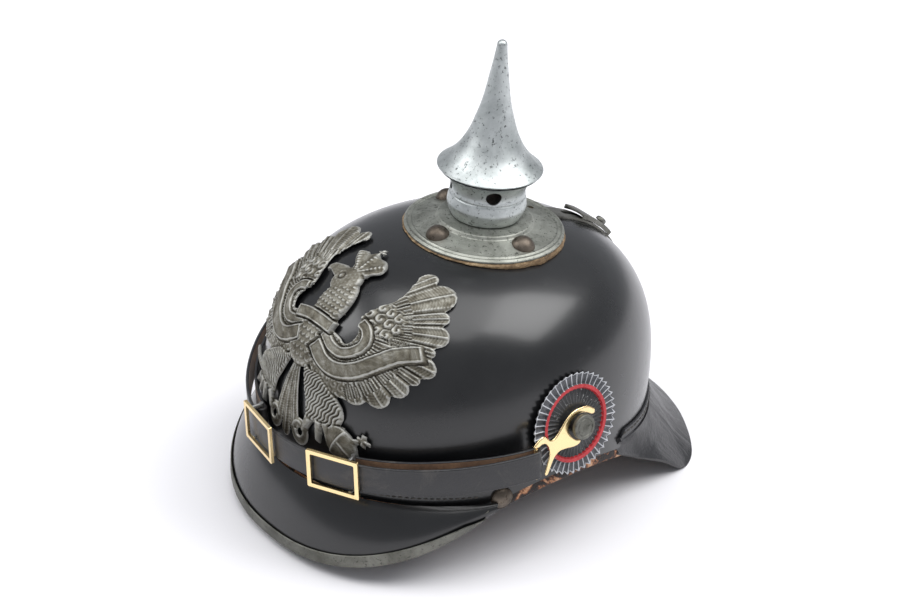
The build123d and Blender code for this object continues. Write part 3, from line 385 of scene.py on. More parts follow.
# %% [markdown]
# ## The dome's shape
# The shell is a superellipse in both directions: fuller than an ellipsoid, as leather drawn over a wooden
# block is. Every piece on it is placed by a direction and an offset, so nothing floats above the leather.

# %% Places on the dome
def dome(turn, level, out=0.0):
    """A place at a turn from the front and a height, offset outwards."""
    turn, level = np.broadcast_arrays(np.asarray(turn, dtype=float), np.asarray(level, dtype=float))
    size = HALF + out
    spread = (1 - np.abs(level / size[2]) ** POWER) ** (1 / POWER)
    angle = np.radians(turn)
    return np.stack([size[0] * spread * np.sin(angle), -size[1] * spread * np.cos(angle), level], axis=-1)


def push_out(ways, out=0.0):
    """Places on the dome, offset by out, in directions given for a dome whose half axes are all 1."""
    size = (np.hypot(ways[..., 0], ways[..., 1]) ** POWER + np.abs(ways[..., 2]) ** POWER) ** (1 / POWER)
    return ways / size[..., None] * (HALF + out)


def between(low, high, steps, out=0.0):
    """Rows of places on the dome from a low line to a high line."""
    first, last = unit(low / HALF), unit(high / HALF)
    angle = np.arccos(np.clip((first * last).sum(axis=-1, keepdims=True), -1, 1))
    rows = []
    for t in np.linspace(0, 1, steps):
        ways = (np.sin((1 - t) * angle) * first + np.sin(t * angle) * last) / np.sin(angle)
        rows.append(push_out(ways, out))
    return np.array(rows)


def crown_height(x, y, out=0.0):
    """Height of the dome's top over a place."""
    spread = np.hypot(x / (HALF[0] + out), y / (HALF[1] + out))
    return (HALF[2] + out) * (1 - np.minimum(spread, 0.999) ** POWER) ** (1 / POWER)


def rim_height(y):
    """Height of the shell's lower edge: level at the front and rear, arched over the ears."""
    radius = (ARCH_REACH ** 2 + ARCH_RISE ** 2) / (2 * ARCH_RISE)
    arch = np.sqrt(np.maximum(radius ** 2 - (y - ARCH_Y) ** 2, 0)) - radius + ARCH_RISE
    return -RIM_DROP + np.where(np.abs(y - ARCH_Y) < ARCH_REACH, arch, 0)


def rim_line(columns, drop=0.0):
    """The shell's lower edge as places all round, lowered by drop."""
    turn = np.linspace(0, 360, columns, endpoint=False)
    level = np.full(columns, -RIM_DROP)
    for step in range(12):
        level = rim_height(dome(turn, level)[:, 1]) - drop
    return dome(turn, level)


def hole_line(columns, radius):
    """A circle about the spike's axis, laid on the dome."""
    turn = np.radians(np.linspace(0, 360, columns, endpoint=False))
    x, y = radius * np.sin(turn), SPIKE_Y - radius * np.cos(turn)
    return np.stack([x, y, crown_height(x, y)], axis=-1)


print("rim from", rim_line(90)[:, 2].min().round(1), "to", rim_line(90)[:, 2].max().round(1), "mm")

# %% [markdown]
# ## Black lacquered leather
# The shell's leather was boiled, pressed on a block and lacquered many times. The lacquer is glossy but not a
# mirror: it has a fine orange peel, faint cloudy scuffs, and hairline crazing where it has aged.

# %% Leather finishes
lacquer = Finish("black_lacquer")
peel = lacquer.grain(2.4, 3, 0.6)
cloud = lacquer.grain(26, 4, 0.6)
scuff = lacquer.mask(lacquer.grain(7, 6, 0.72, 0.6), 0.60, 0.76)
crazing = lacquer.mask(lacquer.cells(2.1, "DISTANCE_TO_EDGE"), 0.0, 0.06)
lacquer.set(Base_Color=lacquer.curve(cloud * 0.7 + scuff * 0.3, (0.25, (0.0045, 0.0048, 0.0055)),
                                     (0.75, (0.017, 0.0172, 0.018))),
            Roughness=0.235 + 0.10 * cloud + 0.14 * scuff,
            Coat_Weight=0.35, Coat_Roughness=0.16,
            Normal=lacquer.relief(peel + crazing * 0.08, 0.035, lacquer.relief(lacquer.grain(22, 2), 0.30)))

strap_black = Finish("strap_black")
fine = strap_black.cells(0.75)
wear = strap_black.mask(strap_black.grain(9, 6, 0.7, 0.8), 0.52, 0.72)
strap_black.set(Base_Color=strap_black.curve(wear * 0.8 + 0.2 * strap_black.grain(3), (0.1, (0.018, 0.018, 0.020)),
                                             (0.9, (0.055, 0.051, 0.048))),
                Roughness=0.34 + 0.20 * wear + 0.08 * strap_black.grain(1.5),
                Normal=strap_black.relief(fine + strap_black.grain(3.0) * 0.6, 0.09))

suede = Finish("strap_suede")
nap = suede.grain(0.8, 6, 0.75, 0.5)
blotch = suede.grain(13, 5, 0.65, 0.7)
suede.set(Base_Color=suede.curve(blotch * 0.7 + nap * 0.3, (0.28, (0.055, 0.033, 0.020)), (0.5, (0.20, 0.115, 0.064)),
                                 (0.74, (0.38, 0.225, 0.125))),
          Roughness=0.82, Sheen_Weight=0.25, Sheen_Roughness=0.5, Normal=suede.relief(nap, 0.16))

guard_black = Finish("guard_black")
folds = guard_black.grain(15, 3, 0.5, 1.6, (1.0, 0.7, 0.55))
pebble = guard_black.cells(1.25)
# Lighter patches: partly dry leather, partly a painted sheen that stands in for the guard's highlight.
dry_and_sheen = guard_black.mask(folds * 0.55 + guard_black.grain(2.2, 5, 0.7) * 0.45, 0.47, 0.64)
guard_black.set(Base_Color=guard_black.blend(dry_and_sheen, (0.014, 0.014, 0.016), (0.062, 0.059, 0.063)),
                Roughness=0.36 + 0.22 * dry_and_sheen + 0.10 * pebble,
                Coat_Weight=0.12, Coat_Roughness=0.3,
                Normal=guard_black.relief(pebble + 0.5 * guard_black.grain(4.0, 5), 0.13,
                                          guard_black.relief(folds, 2.6)))

worn = Finish("worn_edge")
frays = worn.grain(2.0, 7, 0.8, 1.2)
rubbed = worn.mask(worn.grain(8, 6, 0.75, 1.0), 0.40, 0.60)
worn.set(Base_Color=worn.curve(rubbed * 0.62 + frays * 0.38,
                               (0.30, (0.016, 0.011, 0.010)), (0.44, (0.15, 0.055, 0.026)),
                               (0.60, (0.46, 0.21, 0.10)), (0.85, (0.62, 0.40, 0.25))),
         Roughness=0.62 + 0.2 * frays, Normal=worn.relief(frays + worn.grain(0.8, 3) * 0.5, 0.45))

tan = Finish("tan_gasket")
fibre = tan.grain(1.6, 7, 0.78, 1.0, (1, 1, 2.5))
tan.set(Base_Color=tan.curve(fibre * 0.6 + tan.grain(12, 4) * 0.4,
                             (0.36, (0.045, 0.030, 0.017)), (0.52, (0.24, 0.155, 0.08)),
                             (0.66, (0.62, 0.48, 0.29))),
        Roughness=0.8, Normal=tan.relief(fibre, 0.30))

inside = Finish("inside_leather")
grainy = inside.grain(1.1, 5, 0.7)
stain = inside.grain(30, 5, 0.6, 0.6)
inside.set(Base_Color=inside.curve(stain * 0.75 + grainy * 0.25, (0.3, (0.030, 0.018, 0.011)),
                                   (0.7, (0.115, 0.066, 0.036))),
           Roughness=0.6 + 0.15 * grainy, Normal=inside.relief(grainy, 0.12))

lining = Finish("lining_leather")
pores = lining.cells(0.9)
sweat = lining.grain(34, 4, 0.6, 0.4)
lining.set(Base_Color=lining.curve(sweat * 0.8 + pores * 0.2, (0.3, (0.10, 0.052, 0.026)),
                                   (0.7, (0.30, 0.175, 0.092))),
           Roughness=0.5 + 0.2 * sweat, Normal=lining.relief(pores + lining.grain(5, 4) * 0.7, 0.12))

thread = Finish("waxed_thread")
twist = thread.node("ShaderNodeTexWave", {"bands_direction": "DIAGONAL"}, {"Vector": thread.place, "Scale": 1400.0})
thread.set(Base_Color=thread.curve(thread.grain(1.5, 3), (0.3, (0.020, 0.018, 0.016)), (0.7, (0.075, 0.066, 0.055))),
           Roughness=0.62, Normal=thread.relief(twist, 0.06))
print("leather finishes:", [material.name for material in bpy.data.materials])

# %% [markdown]
# ## Metals
# The spike and the plate are zinc-coated steel. Zinc goes matt and speckled, and where hands wore it off, the
# plate turned darker and greener. The eagle shows bare weathered steel with brown in its low places.

# %% Metal finishes
def metal(name, dark, pale, rough, fleck, depth):
    """Weathered metal: a cloudy colour, dark flecks and a fine uneven skin."""
    made = Finish(name)
    cloud = made.grain(9, 6, 0.68, 0.5)
    speck = made.mask(made.grain(0.9, 4, 0.7), 0.57, 0.66)
    pits = made.mask(made.grain(2.6, 6, 0.78, 0.3), 0.62, 0.70)
    tone = made.curve(cloud, (0.30, dark), (0.70, pale))
    made.set(Base_Color=made.blend(speck * fleck + pits * fleck, tone, tuple(v * 0.35 for v in dark)),
             Metallic=1.0 - 0.55 * (pits * fleck),
             Roughness=rough + 0.14 * cloud + 0.16 * pits,
             Normal=made.relief(made.grain(1.4, 5, 0.7) - pits * 0.5, depth))
    return made


zinc = metal("galvanised_spike", (0.38, 0.41, 0.405), (0.66, 0.69, 0.685), 0.38, 0.95, 0.06)
plate_zinc = metal("galvanised_plate", (0.185, 0.19, 0.165), (0.50, 0.51, 0.46), 0.44, 0.90, 0.16)
aged = metal("aged_steel", (0.075, 0.073, 0.060), (0.26, 0.258, 0.235), 0.42, 0.5, 0.09)
green = metal("green_steel", (0.085, 0.085, 0.072), (0.235, 0.235, 0.21), 0.46, 0.6, 0.10)
brown_steel = metal("brown_steel", (0.060, 0.047, 0.036), (0.235, 0.20, 0.165), 0.40, 0.6, 0.10)
bare = metal("bare_steel", (0.20, 0.20, 0.20), (0.46, 0.46, 0.45), 0.34, 0.3, 0.05)

eagle_steel = Finish("eagle_steel")
edges = eagle_steel.node("ShaderNodeNewGeometry", output="Pointiness")
dirt = eagle_steel.grain(5, 7, 0.74, 0.8)
rub = eagle_steel.mask(edges + dirt * 0.10, 0.548, 0.605)
hollows = eagle_steel.mask(edges + dirt * 0.06, 0.530, 0.485)
patina = eagle_steel.curve(dirt, (0.32, (0.070, 0.060, 0.041)), (0.50, (0.165, 0.153, 0.120)),
                           (0.70, (0.32, 0.31, 0.265)))
stained = eagle_steel.blend(hollows * 0.85, patina, (0.030, 0.025, 0.017))
eagle_steel.set(Base_Color=eagle_steel.blend(rub * 0.80, stained, (0.50, 0.50, 0.47)),
                Metallic=0.60, Roughness=0.50 - 0.10 * rub + 0.14 * dirt,
                Normal=eagle_steel.relief(eagle_steel.grain(0.9, 6, 0.78), 0.20,
                                          eagle_steel.relief(eagle_steel.grain(3.2, 4, 0.6, 0.6), 0.55)))

brass = Finish("polished_brass")
hair = brass.grain(1.0, 3, 0.6, 0.0, (1, 6, 1))
tarnish = brass.mask(brass.grain(6, 6, 0.7), 0.56, 0.74)
brass.set(Base_Color=brass.blend(tarnish, (0.95, 0.74, 0.40), (0.72, 0.50, 0.22)), Metallic=1.0,
          Roughness=0.17 + 0.10 * hair + 0.16 * tarnish, Normal=brass.relief(hair, 0.015))
print("steel finishes:", [material.name for material in bpy.data.materials if "steel" in material.name])

# %% [markdown]
# ## Painted cockades
# A cockade is a pleated disc stamped in sheet metal and painted. A pale painted highlight lies on the crests of
# the outer pleats and on their edge, and a grey painted highlight on one side of each inner crest. Inside the red
# ring the left one is black and the right one white and black.

# %% Paint finishes
def paint(name, dark, pale, chips=0.0, rough=0.42):
    """Old enamel with dust in it and chipped edges down to grey metal."""
    made = Finish(name)
    dust = made.grain(3.0, 6, 0.75)
    chip = made.mask(made.grain(1.8, 5, 0.8), 0.66 - 0.12 * chips, 0.70 - 0.10 * chips)
    made.set(Base_Color=made.blend(chip, made.curve(dust, (0.3, dark), (0.7, pale)), (0.36, 0.36, 0.36)),
             Roughness=rough + 0.2 * dust, Metallic=0.6 * chip,
             Normal=made.relief(dust - chip * 0.6, 0.06))
    return made


black_paint = paint("cockade_black", (0.010, 0.010, 0.011), (0.040, 0.041, 0.043), 0.45, 0.32)
# Pale painted highlight for the crests and the edge of the outer pleats.
pale_highlight_paint = paint("cockade_pale_painted_highlight", (0.30, 0.31, 0.33), (0.72, 0.73, 0.76), 0.2, 0.26)
red_paint = paint("cockade_red", (0.36, 0.016, 0.022), (0.58, 0.040, 0.048), 0.1, 0.42)
pleat_paint = paint("cockade_pleats", (0.020, 0.021, 0.024), (0.12, 0.123, 0.135), 0.5, 0.26)
# Grey painted highlight for one side of the inner black pleats' crests.
grey_highlight_paint = paint("cockade_grey_painted_highlight", (0.05, 0.051, 0.054), (0.17, 0.172, 0.18), 0.3, 0.32)
white_paint = paint("cockade_white", (0.55, 0.54, 0.50), (0.76, 0.75, 0.72), 0.3, 0.45)
print("paint finishes:", [material.name for material in bpy.data.materials if "cockade" in material.name])

# %% [markdown]
# ## The shell
# The shell is one leather cup 3 mm thick. Its skin is closed: outside face, edge round the spike's hole,
# inside face and lower edge. The outside is lacquered and the inside is plain brown leather.

# %% The skull
COLUMNS, ROWS, HOLE_RADIUS = 240, 84, 18.5
rim, hole = rim_line(COLUMNS), hole_line(COLUMNS, HOLE_RADIUS)
outer, inner = between(rim, hole, ROWS), between(rim, hole, ROWS, -SHELL_WALL)[::-1]
points, faces = loft(np.concatenate([outer, inner]), ring=True)
tags = [0 if index // COLUMNS < ROWS - 1 else 1 for index in range(len(faces))]
skull = add_piece("skull_leather", points, faces, [lacquer, inside], replaces=["skull"],
                  tags=tags)
print("shell", len(skull.data.vertices), "points,", measured(skull))

# %% [markdown]
# The post holes and the vent slot go through the shell where the posts' stems and the vent need them.

# %% Cut the openings in the shell
POST_Y, POST_LEVEL, POST_TILT, POST_BORE = -0.4, 22.4, radians(10.8), 2.75
POST = np.array([float(dome(90, POST_LEVEL)[0]), POST_Y, POST_LEVEL])
POST_AXIS = np.array([cos(POST_TILT), 0.0, sin(POST_TILT)])
at_post = frame_at(POST, POST_AXIS, (0, 1, 0))
drill = [lathe([(0, -9), (POST_BORE, -9), (POST_BORE, 6), (0, 6)], 32, at_post)]
drill.append((mirrored(drill[0][0]), drill[0][1]))


def rear(angle, out=0.0):
    """A place of the rear centre line at an angle above the widest level."""
    slope = radians(angle)
    size = (abs(cos(slope)) ** POWER + abs(sin(slope)) ** POWER) ** (1 / POWER)
    return np.array([0.0, (HALF[1] + out) * cos(slope) / size, (HALF[2] + out) * sin(slope) / size])


slot_sections = []
half_slot = np.array([1.9, 0, 0])
for angle in np.linspace(50, 59, 6):
    within, beyond = rear(angle, -7.0), rear(angle, 7.0)
    slot_sections.append([within - half_slot, within + half_slot, beyond + half_slot, beyond - half_slot])
drill.append(loft(slot_sections))
for points, faces in drill:
    cut(skull, points, faces)
print("after the cuts", len(skull.data.vertices), "points")

# %% [markdown]
# The lower edge carries a thin leather welt. It is where hands lift the helmet, so its lacquer has gone and
# brown fibre shows. Its section is a small roll, a little uneven along its length.

# %% The worn rim
WELT_HEIGHT, WELT_ROWS = 5.2, 7
edge_lines = rim_line(COLUMNS), rim_line(COLUMNS, -WELT_HEIGHT)
outside = between(*edge_lines, WELT_ROWS)
within = between(*edge_lines, WELT_ROWS, -SHELL_WALL)
places = [2 * pi * step / COLUMNS for step in range(COLUMNS)]
wobble = np.array([noise.noise(Vector((3.1 * sin(a) * 4, 3.1 * cos(a) * 4, 0.5))) for a in places])
welt_rows = []
for row in range(WELT_ROWS):
    swell = (0.34 + 0.10 * wobble) * sin(pi * row / (WELT_ROWS - 1))
    welt_rows.append(outside[row] + (outside[row] - within[row]) / SHELL_WALL * swell[:, None])
welt_rows += list(within[::-1])
welt_rows.append(within[0] * 0.35 + outside[0] * 0.65 + np.array([0, 0, -0.25]))
points, faces = loft(np.array(welt_rows), ring=True)
welt = add_piece("rim_welt", points, faces, worn, replaces=["rim_binding"])
print("welt", measured(welt))

# %% [markdown]
# ## Visor and its metal strip
# The visor is cut from stiff leather and sewn inside the shell's front edge. Its free edge is a superellipse
# in a plane that slopes down to the front. Each section is a shallow arc from the seam to the edge.

# %% The visor's seam and its free edge
VISOR_HALF, VISOR_REACH, VISOR_MIDDLE, VISOR_POWER = 86.3, 83.4, -36.1, 2.32
VISOR_TIP, VISOR_SLOPE, VISOR_BULGE = -55.2, 0.47, 3.2
EDGE_END, SEAM_END, SEAM_DROP, SEAM_RISE = 86.0, 68.0, 16.0, 2.4


def visor_edge(angle):
    """A place of the visor's free edge; angle 0 is the tip."""
    side, ahead = sin(radians(angle)), cos(radians(angle))
    x = VISOR_HALF * abs(side) ** (2 / VISOR_POWER) * (1 if side >= 0 else -1)
    y = VISOR_MIDDLE - VISOR_REACH * abs(ahead) ** (2 / VISOR_POWER)
    return np.array([x, y, VISOR_TIP + VISOR_SLOPE * (y + VISOR_REACH - VISOR_MIDDLE)])


def seam_level(angle):
    """The seam's height at an edge angle: a little higher at its ends."""
    return -SEAM_DROP + SEAM_RISE * abs(angle / EDGE_END)


def visor_seam(angle):
    """The place on the shell that belongs to an edge angle."""
    return dome(angle * SEAM_END / EDGE_END, seam_level(angle), LEATHER)


print("visor tip", visor_edge(0).round(1), "seam", visor_seam(0).round(1))



# %% A leather section between two places
def arc_between(first, middle, last, steps):
    """Places on the circle through three places."""
    a, b = first - last, middle - last
    cross = np.cross(a, b)
    centre = last + np.cross(a.dot(a) * b - b.dot(b) * a, cross) / (2 * cross.dot(cross))
    start = first - centre
    across = np.cross(unit(np.cross(start, middle - centre)), start)
    end = last - centre
    total = atan2(end.dot(across), end.dot(start)) % (2 * pi)
    return np.array([centre + start * cos(t) + across * sin(t) for t in np.linspace(0, total, steps)])


def section_normal(top, low):
    """A section's direction from top to low, and its outward direction."""
    along = unit(low - top)
    radial = unit([top[0] + low[0], top[1] + low[1], 0])
    return along, unit(radial - along * radial.dot(along))


def leather_section(top, low, bulge, steps=14):
    """A closed section of a leather strip with soft edges."""
    along, normal = section_normal(top, low)
    middle = (top + low) / 2 + normal * bulge
    line = arc_between(top, middle, low, steps)
    tangent = unit(np.gradient(line, axis=0))
    side = unit(np.cross(np.cross(along, normal), tangent))
    side *= np.sign(side.dot(normal))[:, None]
    inset = np.minimum(1, np.minimum(np.arange(steps), np.arange(steps)[::-1]) / 1.5)[:, None]
    soft = 0.35 * (1 - inset)
    return np.concatenate([line - side * soft, (line - side * (LEATHER - soft))[::-1]])


# %% The front visor
edge_angles = np.linspace(-EDGE_END, EDGE_END, 141)
points, faces = loft([leather_section(visor_seam(a), visor_edge(a), VISOR_BULGE) for a in edge_angles])
visor = add_piece("visor_leather", points, faces, lacquer, replaces=["front_visor"])
print("visor", measured(visor))

# %% [markdown]
# A folded metal strip protects the visor's edge. Its section is a round nose with two legs, and the upper leg
# gets shorter where the strip ends under the studs.

# %% The metal strip over the visor's edge
STRIP_WALL, STRIP_LEG, STRIP_END = 0.9, 6.2, 83.0


def trim_section(angle):
    """A folded strip: a round nose round the visor's edge and two flat legs."""
    top, low = visor_seam(angle), visor_edge(angle)
    along, normal = section_normal(top, low)
    bend = 4 * VISOR_BULGE / np.linalg.norm(low - top)
    along = unit(along - normal * bend)
    normal = unit(normal - along * normal.dot(along))
    centre = low - normal * LEATHER / 2
    half, clear = LEATHER / 2 + STRIP_WALL, 1.36
    ends = 1.0 if abs(angle) < 76 else max(0.25, (83.5 - abs(angle)) / 7.5)
    leg = STRIP_LEG * (0.55 + 0.45 * ends)
    turns = np.linspace(0.5 * pi, -0.5 * pi, 11)
    shape = [(half, -leg)] + [(half * sin(t), STRIP_WALL * cos(t)) for t in turns] + [(-half, -STRIP_LEG)]
    shape += [(-clear, -STRIP_LEG), (-clear, 0.05), (clear, 0.05), (clear, -leg), (1.8, -leg - 0.35)]
    return np.array([centre + normal * out + along * down for out, down in shape])


points, faces = loft([trim_section(a) for a in np.linspace(-STRIP_END, STRIP_END, 161)])
trim = add_piece("visor_edge_strip", points, faces, green, replaces=["visor_trim"])
print("strip", measured(trim))

# %% [markdown]
# ## The soft neck guard
# The rear guard is thinner leather that has dried and wrinkled. It is sewn to the shell with an upturned
# flange, and the thread shows. Its edge reaches the table at the rear.

# %% The neck guard
def ground(y):
    """Height of the table under a place of the upright helmet."""
    return -STAND[2] / cos(LEAN) + y * sin(LEAN) / cos(LEAN)


guard_turns = (111.0, 119.0, 128.0, 138.0, 150.0, 165.0, 180.0)
guard_out = (1.0, 0.965, 0.975, 0.975, 0.80, 0.42, 0.0)
guard_back = (0.0, 0.16, 0.37, 0.58, 0.75, 0.93, 1.0)
guard_down = (0.0, 0.27, 0.56, 1.0, 1.0, 1.0, 1.0)
GUARD_FRONT, GUARD_REACH, GUARD_START, GUARD_SAG = 41.0, 101.0, -12.5, 2.0
tops, lows = [], []
for turn, out, far, down in zip(guard_turns, guard_out, guard_back, guard_down):
    y = GUARD_FRONT + GUARD_REACH * far
    tops.append(dome(turn, -9.2 + 4.6 * (1 - far) ** 3, LEATHER))
    level = GUARD_START + (ground(y) - GUARD_START) * down
    lows.append(np.array([(86.5 if down < 1 else 84.0) * out, y, level]))
tops += [mirrored(p) for p in tops[-2::-1]]
lows += [mirrored(p) for p in lows[-2::-1]]
guard_tops, guard_lows = through(tops, 181), through(lows, 181)
guard_sections = []
for top, low in zip(guard_tops, guard_lows):
    section = leather_section(top, low, -GUARD_SAG, 22)
    normal = section_normal(top, low)[1]
    shifted = []
    for step, spot in enumerate(section):
        share = min(step, len(section) - 1 - step) / 21
        wave = noise.noise(Vector(spot) * 0.045) * 1.1 + noise.noise(Vector(spot) * 0.13) * 0.35
        shifted.append(spot + normal * wave * sin(pi * min(share, 0.9) ** 0.8))
    guard_sections.append(shifted)
points, faces = loft(guard_sections)
points[:, 2] = np.maximum(points[:, 2], ground(points[:, 1]) + 0.02)
guard = add_piece("neck_guard_leather", points, faces, guard_black, replaces=["neck_guard"])
print("neck guard", measured(guard))

# %% The stitched flange of the guard
def flange_foot(y):
    """Height of the flange's lower edge."""
    return float(np.interp(y, [41.0, 72.0, 220.4], [-4.45, -7.9, -9.05]))


flange_sections, seam_line = [], []
for turn in np.linspace(111.5, 248.5, 161):
    level = -6.0
    for step in range(5):
        level = flange_foot(float(dome(turn, level)[1]))
    edge = min(1.0, (68.5 - abs(turn - 180)) / 2.0 + 0.12)
    shape = [(0.2, 0.0), (0.9, -0.1), (1.55, 0.3), (1.62, 2.6), (1.55, 5.0 * edge), (1.1, 5.45 * edge),
             (0.2, 5.4 * edge)]
    flange_sections.append([dome(turn, level + rise, out) for out, rise in shape])
    seam_line.append((turn, level + 3.4))
points, faces = loft(flange_sections)
flange = add_piece("guard_flange_leather", points, faces, guard_black, replaces=["guard_flange"])
print("flange", measured(flange))


# %% Thread stitches
def stitches(line, out, length, thick):
    """Short thread stitches pressed along a line of (turn, level) on the dome."""
    parts = []
    places = np.array([dome(turn, level, out) for turn, level in line])
    run = np.concatenate([[0], np.cumsum(np.linalg.norm(np.diff(places, axis=0), axis=1))])
    for start in np.arange(1.5, run[-1] - length, length * 1.45):
        ends = [np.array([np.interp(at, run, places[:, axis]) for axis in range(3)])
                for at in (start, start + length)]
        along = (ends[1] - ends[0]) / length
        outward = unit(ends[0] * np.array([1, 1, 0]) / HALF ** 2)
        across = np.cross(along, outward)
        rings = []
        for share in (0.0, 0.15, 0.5, 0.85, 1.0):
            size = thick / 2 * (0.35 + 0.65 * sin(pi * (0.1 + 0.8 * share)))
            middle = ends[0] + (ends[1] - ends[0]) * share + outward * (size * 0.5 - 0.12)
            rings.append([middle + across * size * cos(t) + outward * size * sin(t)
                          for t in np.linspace(0, 2 * pi, 8, endpoint=False)])
        parts.append(loft(rings))
    return joined(parts)


FACES_A_STITCH = 34
points, faces = stitches(seam_line, 1.6, 3.0, 0.9)
add_piece("guard_stitches", points, faces, thread)
print("flange stitches", len(faces) // FACES_A_STITCH)

# %% [markdown]
# The visor is sewn through the shell too: a row of small stitches follows its seam on the outside.

# %% The visor's stitches
seam = [(a * SEAM_END / EDGE_END, seam_level(a) + LEATHER) for a in np.linspace(-80, 80, 121)]
points, faces = stitches(seam, 0.05, 2.2, 0.8)
add_piece("visor_stitches", points, faces, thread)
print("visor stitches", len(faces) // FACES_A_STITCH)

# %% [markdown]
# ## Spike base
# A tan leather washer, frayed at its edge, lies between the shell and the dished plate. The plate has two fine
# raised rings near its rim and a stepped collar. Three domed studs hold it, and a fourth is missing at the rear.

# %% The leather washer
PLATE_RADIUS, PLATE_RIM, SHOULDER_RADIUS, SHOULDER, PLATE_HOLE = 41.8, 91.4, 24.6, 95.4, 15.0
FALL_OF_PLATE = (SHOULDER - PLATE_RIM) / (PLATE_RADIUS - SHOULDER_RADIUS)
WASHER_HOLE, WASHER_EDGE = 25.7, 42.45
STUD_CIRCLE, STUD_RADIUS = 31.2, 6.1


def spike_axis(p):
    """Places about the spike's axis to the helmet."""
    return p + np.array([0.0, SPIKE_Y, 0.0])


def cone_height(radius):
    """Height of the plate's top between its shoulder and rim."""
    return SHOULDER - (radius - SHOULDER_RADIUS) * FALL_OF_PLATE


washer_sections = []
for index in range(360):
    angle = 2 * pi * index / 360
    ragged = 0.55 * noise.noise(Vector((6 * cos(angle), 6 * sin(angle), 0))) + 0.35 * noise.noise(
        Vector((30 * cos(angle), 30 * sin(angle), 2)))
    far = WASHER_EDGE + ragged
    section = []
    for radius, share in ((WASHER_HOLE, 0), (34, 0), (40, 0), (far - 0.3, 0.03), (far, 0.35), (far - 0.1, 0.75),
                          (far - 0.5, 0.97), (40, 1), (34, 1), (WASHER_HOLE, 1)):
        x, y = radius * cos(angle), radius * sin(angle) + SPIKE_Y
        low, high = float(crown_height(x, y, 0.15)), cone_height(radius) - 1.15
        section.append([x, y, low + (max(high, low + 0.35) - low) * share])
    washer_sections.append(section)
points, faces = loft(washer_sections, ring=True)
washer = add_piece("frayed_washer", points, faces, tan, replaces=["base_gasket"])
print("washer", measured(washer))

# %% The dished plate
collar = [(PLATE_HOLE, 98.2), (19.2, 98.2), (20.6, 97.85), (23.2, 97.3), (SHOULDER_RADIUS, 97.0)]
rises = [(25.5, 0), (31, 0), (37.3, 0), (37.7, 0.12), (38.3, 0.62), (38.9, 0.12), (39.3, 0), (39.8, 0.08),
         (40.6, 0.66), (41.3, 0.2)]
dish = [(radius, cone_height(radius) + rise) for radius, rise in rises] + [(PLATE_RADIUS, PLATE_RIM)]
under = [(PLATE_RADIUS, 90.45), (SHOULDER_RADIUS, 94.35), (23.6, 96.0), (18.2, 97.2), (PLATE_HOLE, 97.2)]
bends = [0.3, 0.6, 1.0, 1.0, 0.5, 0.5] + [0.15] * 3 + [0.25] * 6 + [0.35, 0.3, 0.4, 0.3, 0.3, 0.1]
profile = rounded(collar + dish + under, bends, 3)
points, faces = lathe(profile, 160, spike_axis)
plate = add_piece("dished_plate", points, faces, plate_zinc, replaces=["base_plate"], sharp=50)
for angle in (90.0, -90.0, 0.0, 180.0):
    x, y = STUD_CIRCLE * cos(radians(angle)), STUD_CIRCLE * sin(radians(angle)) + SPIKE_Y
    points, faces = lathe([(0, 85), (1.85, 85), (1.85, 100), (0, 100)], 24, lambda p: p + np.array([x, y, 0.0]))
    cut(plate, points, faces)
print("plate", measured(plate))

# %% The domed studs
def dome_profile(radius, height, foot):
    """A closed profile of a low domed head with a fine rounded foot."""
    ball = (radius ** 2 + height ** 2) / (2 * height)
    limit = asin(min(1.0, radius / ball))
    arc = [(ball * sin(t), height - ball + ball * cos(t)) for t in np.linspace(0, limit, 9)]
    return arc + [(radius - 0.15, foot - 0.05), (radius * 0.6, foot), (0.0, foot)]


stud_parts = []
for angle in (-90.0, 0.0, 180.0):
    way = np.array([cos(radians(angle)), sin(radians(angle)), 0.0])
    origin = np.array([0, SPIKE_Y, cone_height(STUD_CIRCLE)]) + way * STUD_CIRCLE
    axis = np.array([0, 0, 1.0]) + way * FALL_OF_PLATE
    stud_parts.append(lathe(dome_profile(STUD_RADIUS, 4.5, 0.02), 48, frame_at(origin, axis, np.cross(way, axis))))
points, faces = joined(stud_parts)
studs = add_piece("plate_studs", points, faces, brown_steel, replaces=["base_studs"], sharp=60)
print("studs", measured(studs))

# %% [markdown]
# ## The spike
# The spike is two spun steel pieces: a waisted neck with vent holes, and a hollow cone with a rolled edge.
# Both are turned here from a profile, so their highlights run clean down the metal.

# %% The neck with its vent holes
STEEL_WALL, VENT_RADIUS, VENT_LEVEL, VENT_TURN = 1.1, 4.0, 116.3, -31.6
neck_line = [(18.1, 98.6), (18.9, 100.2), (20.0, 102.8), (20.6, 105.2), (20.5, 106.9), (20.2, 108.6), (19.9, 110.1),
             (19.4, 111.0), (19.65, 111.8), (19.4, 113.4), (19.7, 115.6), (20.6, 118.2), (22.0, 120.6),
             (23.8, 122.5), (25.9, 123.7)]
curve = through(neck_line, 66)
inside_curve = curve[::-1] - np.array([STEEL_WALL, 0.0])
inside_curve[0] = [25.0, 123.5]
points, faces = lathe(np.concatenate([curve, inside_curve]), 144, spike_axis)
neck = add_piece("spike_neck_zinc", points, faces, zinc, body="spike", replaces=["spike_neck"])
vent_drill = [(0, 9), (VENT_RADIUS, 9), (VENT_RADIUS, 40), (0, 40)]
for step in range(4):
    angle = radians(VENT_TURN + step * 90 - 90)
    axis = np.array([cos(angle), sin(angle), 0.0])
    points, faces = lathe(vent_drill, 40, frame_at([0, SPIKE_Y, VENT_LEVEL], axis, (0, 0, 1)))
    cut(neck, points, faces)
print("neck", measured(neck))

